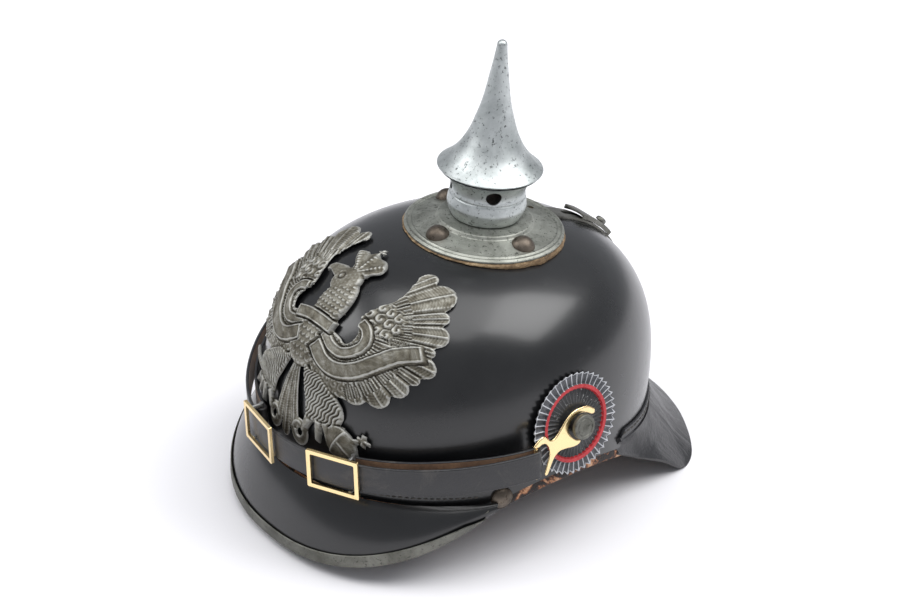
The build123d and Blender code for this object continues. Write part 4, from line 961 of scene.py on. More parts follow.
# %% The cone
TIP_RADIUS, ROLL_RADIUS = 2.6, 0.45
tall, ball = SPIKE_TIP - FLARE_HEIGHT, SPIKE_TIP - TIP_RADIUS
drops = (0.107, 0.297, 0.487, 0.675, 0.769, 0.863, 0.939, 1.0)
widths = (0.119, 0.193, 0.279, 0.42, 0.517, 0.655, 0.82, 1.0)
line = [(FLARE_RADIUS * width, SPIKE_TIP - tall * drop) for width, drop in zip(widths, drops)]
cap = [(TIP_RADIUS * sin(t), ball + TIP_RADIUS * cos(t)) for t in np.linspace(0, 0.5 * pi, 9)]
flank = through([(TIP_RADIUS, ball)] + line, 80)
roll = [(FLARE_RADIUS + ROLL_RADIUS * sin(t), FLARE_HEIGHT - ROLL_RADIUS + ROLL_RADIUS * cos(t))
        for t in np.linspace(0.2, pi - 0.2, 7)]
under = [(26.2, 124.85), (24.9, 124.9)] + [(r - STEEL_WALL, z - STEEL_WALL) for r, z in flank[::-1][6:-14:4]]
profile = np.array(cap + flank[1:-1].tolist() + roll + under + [(0.0, under[-1][1])])
points, faces = lathe(profile, 144, spike_axis)
add_piece("spike_cone_zinc", points, faces, zinc, body="spike", replaces=["spike_cone"])
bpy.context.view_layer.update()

# %% [markdown]
# ## The eagle plate
# The eagle is die-stamped sheet steel. It is drawn here as a height map on a plane in front of the shell, cut
# along its outline, and then laid on the dome. The outline is a signed distance: negative outside, positive
# inside. Points next to the outline are moved onto it, so the cut edge is smooth and not stepped.

# %% Distances on the eagle's drawing plane
SPAN, TALL = 62.5, 100.0
FAR_AWAY, TINY = 1e9, 1e-12


def to_mm(shares, side=1):
    """Shares of the half span and the height to millimetres on the plane."""
    return np.array([(x * SPAN * side, y * TALL) for x, y in shares])


def depth_in(outline, u, v):
    """Signed distance to a closed outline, positive inside."""
    first = np.asarray(outline)
    last = np.roll(first, -1, axis=0)
    near = np.full(u.shape, FAR_AWAY)
    within = np.zeros(u.shape, dtype=bool)
    for (ax, ay), (bx, by) in zip(first, last):
        dx, dy = bx - ax, by - ay
        t = np.clip(((u - ax) * dx + (v - ay) * dy) / max(dx * dx + dy * dy, TINY), 0, 1)
        near = np.minimum(near, np.hypot(u - ax - t * dx, v - ay - t * dy))
        crosses = (ay > v) != (by > v)
        within ^= crosses & (u < ax + (v - ay) * dx / (by - ay if by != ay else TINY))
    return np.where(within, near, -near)


def oval(centre, half_width, half_height, steps=48):
    """An ellipse's outline."""
    x, y = to_mm([centre])[0]
    turns = np.linspace(0, 2 * pi, steps, endpoint=False)
    return np.array([(x + half_width * cos(t), y + half_height * sin(t)) for t in turns])


def blade(root, tip, root_width, tip_width):
    """An outline that widens from its root to a round end."""
    root, tip = np.asarray(root, dtype=float), np.asarray(tip, dtype=float)
    along = unit(tip - root)
    across = np.array([-along[1], along[0]])
    half = tip_width / 2
    end = [tip + across * half * cos(t) + along * half * sin(t) for t in np.linspace(0, pi, 12)]
    return np.array([root - across * root_width / 2, root + across * root_width / 2] + end)


def cross_outline(centre, size, arm):
    """A cross with equal arms."""
    x, y = to_mm([centre])[0]
    s, a = size / 2, arm / 2
    quarter = [(s, a), (a, a), (a, s)]
    ring = quarter + [(-q, p) for p, q in quarter] + [(-p, -q) for p, q in quarter] + [(q, -p) for p, q in quarter]
    return np.array([(x + p, y + q) for p, q in ring])


middle_depth = depth_in(oval((0, 0.5), 5, 8), np.array([0.0]), np.array([50.0]))
print("depth at the middle of a small oval", middle_depth.round(2), "mm")
# %% [markdown]
# Every form of the eagle is an outline with its own height and its own surface pattern. Feathers carry a
# central shaft, slanted barbs and a raised edge, the breast carries scales and the shoulders ruffled down.
# Outlines are shares of the eagle's half span and height, so they keep its proportions.

# %% The wings' outlines
wing_inner = [(0.08, 0.50), (0.25, 0.492), (0.345, 0.478), (0.388, 0.54), (0.325, 0.63), (0.363, 0.712),
              (0.428, 0.80), (0.397, 0.902), (0.36, 0.955)]
wing_tips = [(0.36, 0.955), (0.43, 0.998), (0.506, 0.955), (0.64, 0.985), (0.735, 0.87), (0.80, 0.865),
             (0.80, 0.805), (0.895, 0.79), (0.865, 0.695), (0.915, 0.675), (0.90, 0.645), (0.985, 0.602),
             (0.92, 0.54), (0.935, 0.51), (0.88, 0.485), (0.895, 0.42), (0.81, 0.39), (0.79, 0.31),
             (0.675, 0.298), (0.635, 0.26), (0.54, 0.245)]
wing_low = [(0.54, 0.245), (0.39, 0.232), (0.19, 0.263), (0.08, 0.32)]


def at_share(share, side=1):
    """One place of the plane in millimetres."""
    return to_mm([share], side)[0]


def wing_outline(side):
    """One wing: a curved inner edge and ten rounded feather ends, each an arc through three places."""
    places = to_mm(wing_tips, side)
    out = list(through(to_mm(wing_inner, side), 40))
    for step in range(0, len(places) - 2, 2):
        lifted = [np.append(p, 0.0) for p in places[step:step + 3]]
        out += list(arc_between(*lifted, 10)[1:, :2])
    return np.array(out + list(through(to_mm(wing_low, side), 16))[1:])


wings = {side: wing_outline(side) for side in (-1, 1)}
print("a wing's outline has", len(wings[1]), "places")


# %% Ribbons, tail and legs
def band_outline(shares, half):
    """A ribbon of even width along a line of the plane."""
    line = through(to_mm(shares), 70)
    slope = unit(np.gradient(line, axis=0))
    side_way = np.stack([-slope[:, 1], slope[:, 0]], axis=1)
    return np.concatenate([line + side_way * half, (line - side_way * half)[::-1]])


def closed_line(shares, side=1):
    """A smooth closed outline."""
    return through(to_mm(shares + shares[:1], side), 60)[:-1]


def both(shares):
    """The same line of shares on the left and on the right."""
    return [shares, [(-x, y) for x, y in shares]]


ribbon_shares = [(0.10, 0.40), (0.25, 0.347), (0.39, 0.345), (0.53, 0.395), (0.64, 0.48), (0.74, 0.57), (0.87, 0.645)]
fold_shares = [(0.13, 0.47), (0.25, 0.432), (0.37, 0.432), (0.47, 0.49), (0.485, 0.55), (0.43, 0.595), (0.35, 0.61)]
ribbons = [band_outline(line, 4.1) for line in both(ribbon_shares)]
folds = [band_outline(line, 2.9) for line in both(fold_shares)]
chest_ribbon = band_outline([(-0.25, 0.485), (-0.12, 0.503), (0.02, 0.508), (0.19, 0.505)], 3.4)

root = at_share((0, 0.32))
tail = {-11: 35, 11: 35, 0: 38}
tail_ways = {angle: np.array([sin(radians(angle)), -cos(radians(angle))]) for angle in tail}
tail_outlines = {angle: blade(root, root + tail[angle] * way, 2.0, 6.4) for angle, way in tail_ways.items()}

thigh_shares = [(0.05, 0.33), (0.138, 0.275), (0.248, 0.28), (0.381, 0.245), (0.50, 0.21), (0.548, 0.165),
                (0.525, 0.112), (0.46, 0.085), (0.346, 0.068), (0.27, 0.048), (0.225, 0.06), (0.20, 0.12),
                (0.135, 0.20)]
thighs = {side: closed_line(thigh_shares, side) for side in (-1, 1)}
talon_shares = [((0.42, 0.085), (0.47, 0.015)), ((0.47, 0.09), (0.56, 0.05)), ((0.36, 0.075), (0.37, -0.01)),
                ((0.26, 0.06), (0.22, -0.01))]
talons = [blade(at_share(first, side), at_share(last, side), 4.2, 2.2)
          for side in (-1, 1) for first, last in talon_shares]
CURL_RADIUS = 6.0
curls = {side: at_share((0.165 * side, -0.03)) for side in (-1, 1)}
print("talons", len(talons), "tail feathers", len(tail_outlines))

# %% Head, crown, orb and sceptre
body_outline, neck_outline = oval((0, 0.42), 13, 17), oval((0.02, 0.61), 9.6, 15)
head_outline = oval((-0.05, 0.735), 8.4, 8.4)
beak_outline = to_mm([(-0.06, 0.79), (-0.20, 0.80), (-0.30, 0.785), (-0.335, 0.755), (-0.315, 0.722), (-0.285, 0.735),
                      (-0.20, 0.72), (-0.06, 0.69)])
crown_outline = closed_line([(-0.10, 0.785), (-0.15, 0.82), (-0.215, 0.85), (-0.25, 0.89), (-0.20, 0.915),
                             (-0.15, 0.908), (-0.10, 0.937), (-0.04, 0.918), (0.04, 0.918), (0.11, 0.89),
                             (0.12, 0.85), (0.07, 0.82), (0.045, 0.785)])
ORB = (0.56, 0.04)
orb_outline = oval(ORB, 8.2, 7.6)
sceptre_outline = blade(at_share((-0.40, 0.10)), at_share((-0.86, 0.17)), 3.4, 4.0)
knob_outline = oval((-0.86, 0.17), 3.2, 3.2, 24)
crosses = [cross_outline((-0.085, 0.945), 4.2, 1.5), cross_outline((0.722, 0.116), 5.8, 1.9)]
cross_stem = blade(at_share((0.62, 0.07)), at_share((0.70, 0.106)), 3.4, 1.8)
everything = [*wings.values(), body_outline, neck_outline, head_outline, beak_outline, crown_outline, orb_outline,
              sceptre_outline, chest_ribbon, *ribbons, *tail_outlines.values(), *thighs.values(), *talons, *crosses,
              cross_stem]
print("outlines:", len(everything))


# %% Patterns of the relief
def bump(distance, reach):
    """0 at an outline's edge, rising to 1 at a depth of reach, round at the top."""
    t = np.clip(distance / reach, 0, 1)
    return np.sqrt(np.clip(1 - (1 - t) ** 2, 0, 1))


def ridge(distance, width):
    """A soft line where a distance is 0."""
    return np.exp(-(distance / width) ** 2)


def laid(height, depth, form, limit=0.0):
    """The height so far, raised to a form wherever a distance is over a limit."""
    return np.where(depth > limit, np.maximum(height, form), height)


def scales(u, v, size, way):
    """Rows of overlapping scales whose round ends point along way; 1 at each end, 0 at its root."""
    c, s = cos(way), sin(way)
    along, across = (u * c + v * s) / size, (-u * s + v * c) / size
    best = np.zeros_like(u)
    for row in (-1, 0, 1):
        line = np.floor(along) + row
        shift = 0.5 * (line % 2)
        rise = 0.15 + 0.85 * np.clip((along - line) / 1.25, 0, 1) ** 1.5
        for beside in (0, 1):
            middle = np.floor(across - shift) + shift + beside
            reach = np.hypot((along - line) / 1.25, (across - middle) / 0.62)
            best = np.maximum(best, np.where(reach < 1, rise * np.clip((1 - reach) * 7, 0, 1), 0))
    return best


def feather_relief(t, s):
    """Height of one feather: t across from -1 to 1, s along in millimetres."""
    t = np.clip(t, -1, 1)
    shaft = ridge(t, 0.10)
    barbs = 0.5 + 0.5 * np.sin(2 * pi * (s + 2.4 * np.abs(t)) / 1.25)
    edge = np.clip((1 - np.abs(t)) / 0.22, 0, 1)
    rim = ridge(np.abs(t) - 0.72, 0.14)
    body = 0.45 + 0.25 * np.sqrt(np.clip(1 - t ** 2, 0, 1)) + 0.85 * shaft + 0.42 * rim + 0.20 * barbs * (1 - shaft)
    return edge ** 0.6 * body


def swirls(u, v, size, seed):
    """Small round curls with a spiral groove in each, packed close like ruffled down."""
    best, form = np.full(u.shape, 9.0), np.zeros_like(u)
    for row in range(int((v.min() - 2) / size), int((v.max() + 2) / size) + 2):
        for column in range(int((u.min() - 2) / size), int((u.max() + 2) / size) + 2):
            shift = noise.noise(Vector((row * 1.7, column * 2.3, seed)))
            x = (column + 0.5 * (row % 2) + 0.35 * shift) * size
            y = (row + 0.3 * noise.noise(Vector((column, row, seed)))) * size
            far = np.hypot(u - x, v - y) / size
            turn = np.arctan2(v - y, u - x) + 3 * shift
            mine = np.sqrt(np.clip(1 - (far / 0.78) ** 2, 0, 1)) * (0.8 + 0.35 * np.sin(turn + 9.0 * far))
            form = np.where(far < best, mine, form)
            best = np.minimum(best, far)
    return form


print("a feather's height at its shaft", feather_relief(np.array([0.0]), 0.0).round(2), "mm")


# %% The wings' relief
def wing_relief(u, v, side):
    """Long feathers fanned from the wing's shoulder, shorter ones over them, and ruffled down on the shoulder."""
    fan = at_share((0.26, 0.53), side)
    turn = np.arctan2(v - fan[1], (u - fan[0]) * side)
    far = np.hypot(u - fan[0], v - fan[1])
    notches = to_mm(wing_tips[::2], side)
    cuts = np.sort(np.arctan2(notches[:, 1] - fan[1], (notches[:, 0] - fan[0]) * side))
    index = np.clip(np.searchsorted(cuts, turn) - 1, 0, len(cuts) - 2)
    share = (turn - cuts[index]) / (cuts[index + 1] - cuts[index])
    whole, split = 2 * share - 1, 2 * ((2 * share) % 1) - 1
    long_row = np.where(far < 33, feather_relief(split, far), feather_relief(whole, far))
    long_row = long_row + 0.30 * np.clip(whole, -1, 1)
    short_row = feather_relief(((turn * 7.5) % 2.0) - 1, far) + 0.45
    row_end = np.where(v < 0.60 * TALL, 27.0, 21.0) + 1.4 * np.cos(turn * 7.5 * pi)
    height = np.where(far < row_end, short_row, long_row)
    shoulder = at_share((0.475, 0.672), side)
    down = np.hypot((u - shoulder[0]) / 10.6, (v - shoulder[1]) / 8.8)
    wavy = 0.10 * np.cos(11 * np.arctan2(v - shoulder[1], u - shoulder[0]))
    height = np.where(down < 1 + wavy, 0.85 + 1.35 * swirls(u, v, 5.2, 5.0 + side), height)
    in_fan = (turn > cuts[0]) & (turn < cuts[-1])
    return np.where(in_fan | (down < 1), height, 0.75 + 0.55 * swirls(u, v, 4.0, 2.0))


def tail_and_legs(height, u, v):
    """Adds the tail's blades, the curls below, the feathered thighs and the talons."""
    for angle, outline in tail_outlines.items():
        depth, way = depth_in(outline, u, v), tail_ways[angle]
        s = (u - root[0]) * way[0] + (v - root[1]) * way[1]
        t = ((u - root[0]) * way[1] - (v - root[1]) * way[0]) / (1.3 + 3.0 * np.clip(s / 36, 0, 1.2))
        height = laid(height, depth, feather_relief(t, s) * bump(depth + 0.3, 0.9), -0.4)
    for side, centre in curls.items():
        far = np.hypot(u - centre[0], v - centre[1])
        turn = np.arctan2(v - centre[1], (u - centre[0]) * side)
        height = laid(height, CURL_RADIUS - far, 0.8 + 0.9 * ridge(far - 3.4 - 0.35 * turn, 0.9))
    for side, outline in thighs.items():
        depth = depth_in(outline, u, v)
        along = ((u * side) * 0.9 - v * 0.44) / 1.7
        tufts = 0.42 * np.sin(2 * pi * (along + 0.25 * np.sin(v * 1.1))) * bump(depth, 1.6)
        form = 0.7 + 1.5 * bump(depth, 6.5) + tufts + 0.35 * ridge(depth - 1.0, 0.45)
        height = laid(height, depth, form * bump(depth, 0.7))
    for outline in talons:
        depth = depth_in(outline, u, v)
        height = laid(height, depth, 1.5 + 1.3 * bump(depth, 1.6))
    return height


print("tufts and talons are ready")


# %% The breast, the ribbons and the head
def breast_and_ribbons(height, u, v):
    """Adds the scaly breast and neck, and lays the bare ribbons over everything so far."""
    for outline, width, base, rise, size in ((body_outline, 11.0, 1.0, 1.9, 3.3), (neck_outline, 9.0, 1.2, 1.7, 2.7)):
        depth = depth_in(outline, u, v)
        form = base + rise * bump(depth, width) + 0.85 * scales(u, v, size, -pi / 2)
        height = laid(height, depth, form * bump(depth, 1.2))
    for outline, lift in [(fold, 2.1) for fold in folds] + [(band, 2.6) for band in ribbons] + [(chest_ribbon, 3.0)]:
        depth = depth_in(outline, u, v)
        creases = 0.22 * np.sin(u * 0.9 + 0.6 * v) * np.sin(v * 0.5)
        band = lift - 0.5 + 0.35 * bump(depth, 4.2) + 0.42 * ridge(depth - 0.75, 0.36) + creases
        height = np.where(depth > 0, band * bump(depth, 0.5), height)
        height = np.where((depth > -0.7) & (depth <= 0), np.minimum(height, 0.6), height)
    return height


def head_and_crown(height, u, v):
    """Adds the beak, the head with its eye, and the arched crown."""
    depth = depth_in(beak_outline, u, v)
    height = laid(height, depth, (1.6 + 0.9 * bump(depth, 2.6)) * bump(depth, 0.7))
    depth = depth_in(head_outline, u, v)
    x, y = at_share((-0.11, 0.745))
    eye = np.hypot(u - x, v - y)
    face = 1.9 + 1.25 * bump(depth, 7.5) + 0.22 * scales(u, v, 2.0, -pi / 4) * (eye > 3)
    face = face + 0.55 * ridge(eye, 0.9) - 0.45 * ridge(eye - 1.9, 0.5)
    height = laid(height, depth, face * bump(depth, 0.9))
    depth = depth_in(crown_outline, u, v)
    x, y = at_share((-0.045, 0.795))
    turn, far = np.arctan2(u - x, v - y) + 0.06, np.hypot(u - x, v - y)
    arches = np.maximum(ridge(np.abs(turn) - 0.78, 0.14), ridge(turn, 0.14))
    pearls = 0.5 + 0.5 * np.cos(2 * pi * far / 1.9)
    form = 0.9 + 0.6 * bump(depth, 4.0) + (0.75 + 0.45 * pearls) * arches + 0.8 * ridge(v - y - 1.4, 1.0)
    return laid(height, depth, form * bump(depth, 0.7))


def orb_and_sceptre(height, u, v):
    """Adds the crosses, the belted orb, and the sceptre with its knob."""
    for outline in crosses + [cross_stem]:
        depth = depth_in(outline, u, v)
        height = laid(height, depth, 1.1 + 0.6 * bump(depth, 1.1))
    depth = depth_in(orb_outline, u, v)
    x, y = at_share(ORB)
    across, along = (u - x) * 0.45 + (v - y) * 0.89, (u - x) * 0.89 - (v - y) * 0.45
    belt = np.maximum(ridge(along + 0.4, 0.75), ridge(across, 0.6) * (along > 0))
    height = laid(height, depth, (1.0 + 2.2 * bump(depth, 7.4) + 0.9 * belt) * bump(depth, 0.5))
    for outline, half in ((sceptre_outline, 2.0), (knob_outline, 3.2)):
        depth = depth_in(outline, u, v)
        turns = 0.12 * np.cos(2 * pi * u / 2.4)
        height = laid(height, depth, 0.6 + (1.3 + turns) * bump(depth, half))
    return height


def eagle_height(u, v):
    """Height of the plate's face above its base at places of the plane."""
    height = np.zeros_like(u)
    for side, outline in wings.items():
        depth = depth_in(outline, u, v)
        height = laid(height, depth, bump(depth + 0.3, 1.0) * wing_relief(u, v, side), -0.6)
    for step in (tail_and_legs, breast_and_ribbons, head_and_crown, orb_and_sceptre):
        height = step(height, u, v)
    return height


print("height at the breast", eagle_height(np.array([0.0]), np.array([40.0])).round(2), "mm")

# %% [markdown]
# ### Cutting a sheet along an outline
# The plane is covered with a fine grid. Only squares whose corners all lie inside stay. Corners that are just
# outside first slide down the distance's slope onto the outline itself.

# %% A sheet cut along an outline
def cut_sheet(low, high, cell, distance):
    """Grid places inside a signed distance, with its edge snapped to the outline, and their faces."""
    nudge = 0.05
    u, v = np.meshgrid(np.arange(low[0], high[0] + cell, cell), np.arange(low[1], high[1] + cell, cell))
    depth = distance(u, v)
    moved = (depth < 0) & (depth > -1.125 * cell)
    close = moved
    for step in range(2):
        slope_u = (distance(u[close] + nudge, v[close]) - distance(u[close] - nudge, v[close])) / (2 * nudge)
        slope_v = (distance(u[close], v[close] + nudge) - distance(u[close], v[close] - nudge)) / (2 * nudge)
        size = np.maximum(np.hypot(slope_u, slope_v), 0.3)
        u[close] -= depth[close] * slope_u / size ** 2
        v[close] -= depth[close] * slope_v / size ** 2
        depth[close] = distance(u[close], v[close])
        close = (np.abs(depth) < 0.3 * cell) & moved
    keep = depth > -0.12 * cell
    rows, columns = u.shape
    solid = keep[:-1, :-1] & keep[1:, :-1] & keep[:-1, 1:] & keep[1:, 1:]
    number = np.arange(rows * columns).reshape(rows, columns)
    corners = (number[:-1, :-1], number[:-1, 1:], number[1:, 1:], number[1:, :-1])
    quads = np.stack([corner[solid] for corner in corners], axis=1)
    used, faces = np.unique(quads, return_inverse=True)
    return u.ravel()[used], v.ravel()[used], faces.reshape(quads.shape)


print("a 2 mm square has", len(cut_sheet((0, 0), (2, 2), 1.0, lambda u, v: 1 + 0 * u)[2]), "faces")

# %% The eagle laid on the dome
TILT, EAGLE_PLACE = radians(37.6), np.array([0, -107.1, 10.2])
PLANE_AXIS = np.array([0.0, -cos(TILT), sin(TILT)])
PLANE_UP = np.array([0.0, sin(TILT), cos(TILT)])
CELL = 0.40
EAGLE_GAP, EAGLE_WALL, EYE_RADIUS = 1.75, 0.8, 1.7


def all_depth(u, v):
    """Signed distance to the whole eagle, with an open eye in each curl."""
    forms = [depth_in(outline, u, v) for outline in everything]
    forms += [CURL_RADIUS - np.hypot(u - x, v - y) for x, y in curls.values()]
    eyes = [np.hypot(u - x - 0.5 * side, v - y) - EYE_RADIUS for side, (x, y) in curls.items()]
    return np.minimum(np.max(forms, axis=0), np.min(eyes, axis=0))


def lay_on_dome(u, v, out):
    """Plane places to the dome grown outwards by out, found by halving a line along the plane's normal."""
    start = EAGLE_PLACE + u[:, None] * np.array([1.0, 0, 0]) + v[:, None] * PLANE_UP
    size = HALF + out[:, None]
    near, far = np.full(u.shape, -45.0), np.full(u.shape, 45.0)
    for step in range(34):
        middle = (near + far) / 2
        spot = (start + PLANE_AXIS * middle[:, None]) / size
        value = np.hypot(spot[:, 0], spot[:, 1]) ** POWER + np.abs(spot[:, 2]) ** POWER
        near = np.where(value < 1, middle, near)
        far = np.where(value < 1, far, middle)
    return start + PLANE_AXIS * near[:, None]


u, v, faces = cut_sheet((-64, -14), (64, 104), CELL, all_depth)
face_height = eagle_height(u, v)
from_edge = np.clip(all_depth(u, v) / 0.5, 0, 1)
points = lay_on_dome(u, v, EAGLE_GAP + (face_height - 0.25) * (0.35 + 0.65 * from_edge))
eagle = add_piece("eagle_relief", points, faces, eagle_steel, replaces=["eagle_plate"], sharp=75)
thicken(eagle, EAGLE_WALL)
print("eagle points", len(points), "height", face_height.max().round(2), "size", measured(eagle))

# %% [markdown]
# ## Cockades and side posts
# Each cockade is a disc pressed into pleats that fade towards the middle, with notched tips. A flat ring sits
# on it. The faces are sorted into paints by their radius, and the pleats' crests get painted highlights.

# %% The two cockades
PLEATS, STEPS_A_PLEAT, DISC_LEVEL, RING_RISE = 44, 12, 2.15, 0.55
disc_radii = np.concatenate([np.linspace(27.3, 22.0, 14), np.linspace(21.4, 17.4, 12), np.linspace(16.8, 3.1, 24)])
paints = [black_paint, pale_highlight_paint, red_paint, white_paint, pleat_paint, grey_highlight_paint]
BLACK, PALE_HIGHLIGHT, RED, WHITE, PLEAT, GREY_HIGHLIGHT = range(len(paints))


def pleated_section(index):
    """The closed section of the disc at one step round it."""
    angle = 2 * pi * index / (PLEATS * STEPS_A_PLEAT)
    share = (index % STEPS_A_PLEAT) / STEPS_A_PLEAT
    crest = 1 - abs(2 * share - 1)
    lean = crest ** 1.6 if share < 0.5 else crest
    front, back_side = [], []
    for number, radius in enumerate(disc_radii):
        far = radius - 1.5 * (1 - crest) * max(0, 1 - number / 5)
        deep = min(1.0, max(0.0, (radius - 10.0) / 10.0))
        on_ring = 18.5 < radius < 20.8
        level = DISC_LEVEL - 0.95 * deep * (1 - lean) * (0.15 if on_ring else 1) + RING_RISE * on_ring
        front.append((far * cos(angle), far * sin(angle), level))
        back_side.append((far * cos(angle), far * sin(angle), min(level - 0.12, 1.15)))
    return at_post(np.array(front + back_side[::-1]))


def paint_of(index, bands):
    """The paint of one face; bands are (outer radius, paint), from outside in."""
    around, step = divmod(index, 2 * len(disc_radii))
    radius = disc_radii[step] if step < len(disc_radii) else 0
    tag = [number for limit, number in bands if radius <= limit][-1]
    place_in_pleat = around % STEPS_A_PLEAT
    # Outer band: a pale painted highlight on the two faces at each crest and on the two outermost rows; the other
    # faces take the dark pleat paint.
    if tag == PALE_HIGHLIGHT and place_in_pleat not in (5, 6) and step >= 2:
        return PLEAT
    # Inner black band: a grey painted highlight on one side of each crest.
    if tag == BLACK and place_in_pleat == 5 and 11.5 < radius < 18.4:
        return GREY_HIGHLIGHT
    return tag


disc_points, disc_faces = loft([pleated_section(index) for index in range(PLEATS * STEPS_A_PLEAT)], ring=True)
rim_bands = [(30, PALE_HIGHLIGHT), (20.9, RED)]
disc_bands = {1: rim_bands + [(18.4, BLACK)], -1: rim_bands + [(18.4, WHITE), (11.0, BLACK)]}
for side, name in SIDES:
    cockade = "cockade_" + name
    tags = [paint_of(index, disc_bands[side]) for index in range(len(disc_faces))]
    add_piece(cockade + "_disc", on_side(disc_points, side), disc_faces, paints, replaces=[cockade],
              tags=tags, sharp=50)
    print(cockade, len(disc_faces), "faces")

# %% The posts
post_line = [(0, -8.0), (2.6, -8.0), (2.6, 2.4), (4.5, 2.4), (4.5, 7.3), (6.6, 7.3), (6.6, 9.8), (4.9, 9.8),
             (4.6, 9.45), (4.3, 9.8), (2.3, 9.8), (0.9, 9.2), (0, 9.1)]
bends = [0, 0.2, 0.1, 0.4, 0.1, 0.3, 0.75, 0.12, 0.2, 0.12, 0.4, 0.3, 0]
points, faces = lathe(rounded(post_line, bends, 4), 64, at_post)
for side, name in SIDES:
    add_piece("post_" + name, on_side(points, side), faces, green, replaces=["side_post_" + name],
              sharp=60)
print("each post has", len(points), "points")

# %% [markdown]
# ## The chin strap
# The straps' ends fold round the hooks' bars, run back inside the outer layer and end in loops round the
# buckles' bars. The whole path is one line seen along the strap's width, given the leather's section.

# %% The strap's plane
REACH, STRAP_WALL, GAP, BAR, FALL, HOOK = 119.9, 1.6, 0.15, 1.1, radians(7.4), 75.4
FOLD = BAR + GAP + STRAP_WALL / 2
TUCK, TUCK_ANGLE, TUCK_SPREAD = 3.5, -42.0, 40.0
post_rise = np.cross(POST_AXIS, [0, 1, 0])
model_bar = POST - np.array([0, 20.2, 0]) - 11.6 * post_rise + 6.9 * POST_AXIS
strap_across = np.array([0, -sin(FALL), cos(FALL)])
strap_back = np.cross(strap_across, [1, 0, 0])
strap_origin = np.array([0, model_bar[1], model_bar[2]])
CENTRE = -model_bar[1] / cos(FALL)
WIDE = (model_bar[0] + FOLD) / sin(pi / 2 - CENTRE / REACH)


def strap_out(angle):
    """The strap's outward direction."""
    return unit([REACH * sin(radians(angle)), -WIDE * cos(radians(angle))])


def strap_place(angle):
    """The middle of the strap's outer layer; angle 0 is the front. It lies closer on the wearer's right."""
    share = min(abs(angle - TUCK_ANGLE) / TUCK_SPREAD, 1)
    tuck = strap_out(angle) * TUCK * cos(pi / 2 * share) ** 2
    return np.array([WIDE * sin(radians(angle)), CENTRE - REACH * cos(radians(angle))]) - tuck


def strap_3d(flat, level):
    """A place of the strap's plane, level millimetres up the strap's width."""
    return strap_origin + flat[0] * np.array([1.0, 0, 0]) + flat[1] * strap_back + level * strap_across


print("the strap's front", strap_3d(strap_place(0), 0).round(1), "mm")


# %% The strap's path
def hermite(first, last, leave, arrive, steps):
    """A smooth line between two places with given directions."""
    size = np.linalg.norm(last - first)
    out = []
    for t in np.linspace(0, 1, steps):
        out.append((2 * t ** 3 - 3 * t ** 2 + 1) * first + (t ** 3 - 2 * t ** 2 + t) * leave * size
                   + (3 * t ** 2 - 2 * t ** 3) * last + (t ** 3 - t ** 2) * arrive * size)
    return out


def strap_end(angle, side):
    """Path places from a buckle's bar along the inner layer to the hook's fold."""
    speed = np.hypot(WIDE * cos(radians(angle)), REACH * sin(radians(angle)))
    beside = angle + degrees(side * 9.0 / speed)
    middle = (side * HOOK + beside) / 2
    out, waist_out, ends = strap_out(beside), strap_out(middle), strap_out(side * HOOK)
    along, level, onward = [np.array([-way[1], way[0]]) * side for way in (out, waist_out, ends)]
    pin = strap_place(beside) - out * (STRAP_WALL * 1.5 + GAP * 2 + BAR)
    waist = strap_place(middle) - waist_out * (2 * FOLD + (2.4 if side > 0 else 0.0))
    bar = strap_place(side * HOOK) - ends * FOLD
    path = [pin + out * FOLD * cos(t) - along * FOLD * sin(t) for t in np.linspace(0.15, pi, 12)]
    path += hermite(path[-1], waist, along, level, 14)[1:]
    path += hermite(waist, bar - ends * FOLD, level, onward, 14)[1:]
    path += [bar - ends * FOLD * cos(t) + onward * FOLD * sin(t) for t in np.linspace(0, pi, 12)][1:]
    return path


outer_layer = [strap_place(a) for a in np.linspace(HOOK, -HOOK, 97)]
path = np.array(strap_end(22.3, 1) + outer_layer[1:-1] + strap_end(-7.0, -1)[::-1])
run = unit(np.gradient(path, axis=0))
out_way = np.stack([-run[:, 1], run[:, 0]], axis=1)
print("strap path", round(float(np.linalg.norm(np.diff(path, axis=0), axis=1).sum())), "mm")

# %% The strap's leather
thick, wide = STRAP_WALL / 2, 8.1
outline = rounded([(-thick, -wide), (thick, -wide), (thick, wide), (-thick, wide)], [0.45, 0.7, 0.7, 0.45], 3)
grooves = [(thick, -7.2), (0.72, -6.6), (thick, -6.0), (thick, 0.0), (thick, 6.0), (0.72, 6.6), (thick, 7.2)]
within = [(-thick, level) for level in (4.0, 0.0, -4.0)]
section = np.array([*outline[:8], *grooves, *outline[8:], *within])
strap_sections = []
for spot, outwards in zip(path, out_way):
    ripple = 0.06 * noise.noise(Vector((spot[0] * 0.08, spot[1] * 0.08, 3.0)))
    flat = spot + outwards * (section[:, 0:1] + ripple)
    strap_sections.append(strap_origin + flat[:, 0:1] * np.array([1.0, 0, 0]) + flat[:, 1:2] * strap_back
                          + section[:, 1:2] * strap_across)
points, faces = loft(strap_sections)
size = len(section)
tags = [1 if index % size >= size - 4 or index % size < 1 else 0 for index in range(len(faces))]
strap = add_piece("strap_leather", points, faces, [strap_black, suede], body="strap", replaces=["chin_strap"],
                  tags=tags)

# %% [markdown]
# ## The strap's hooks
# Each hook is cast brass: an open claw goes round the post's neck, and a forked tail holds a bar in the strap's
# fold. Its outline is a smooth curve through chosen places on a plane across the post, in millimetres from the
# post's axis. The eagle's cutter makes a sheet of it, and a modifier gives it the casting's thickness.

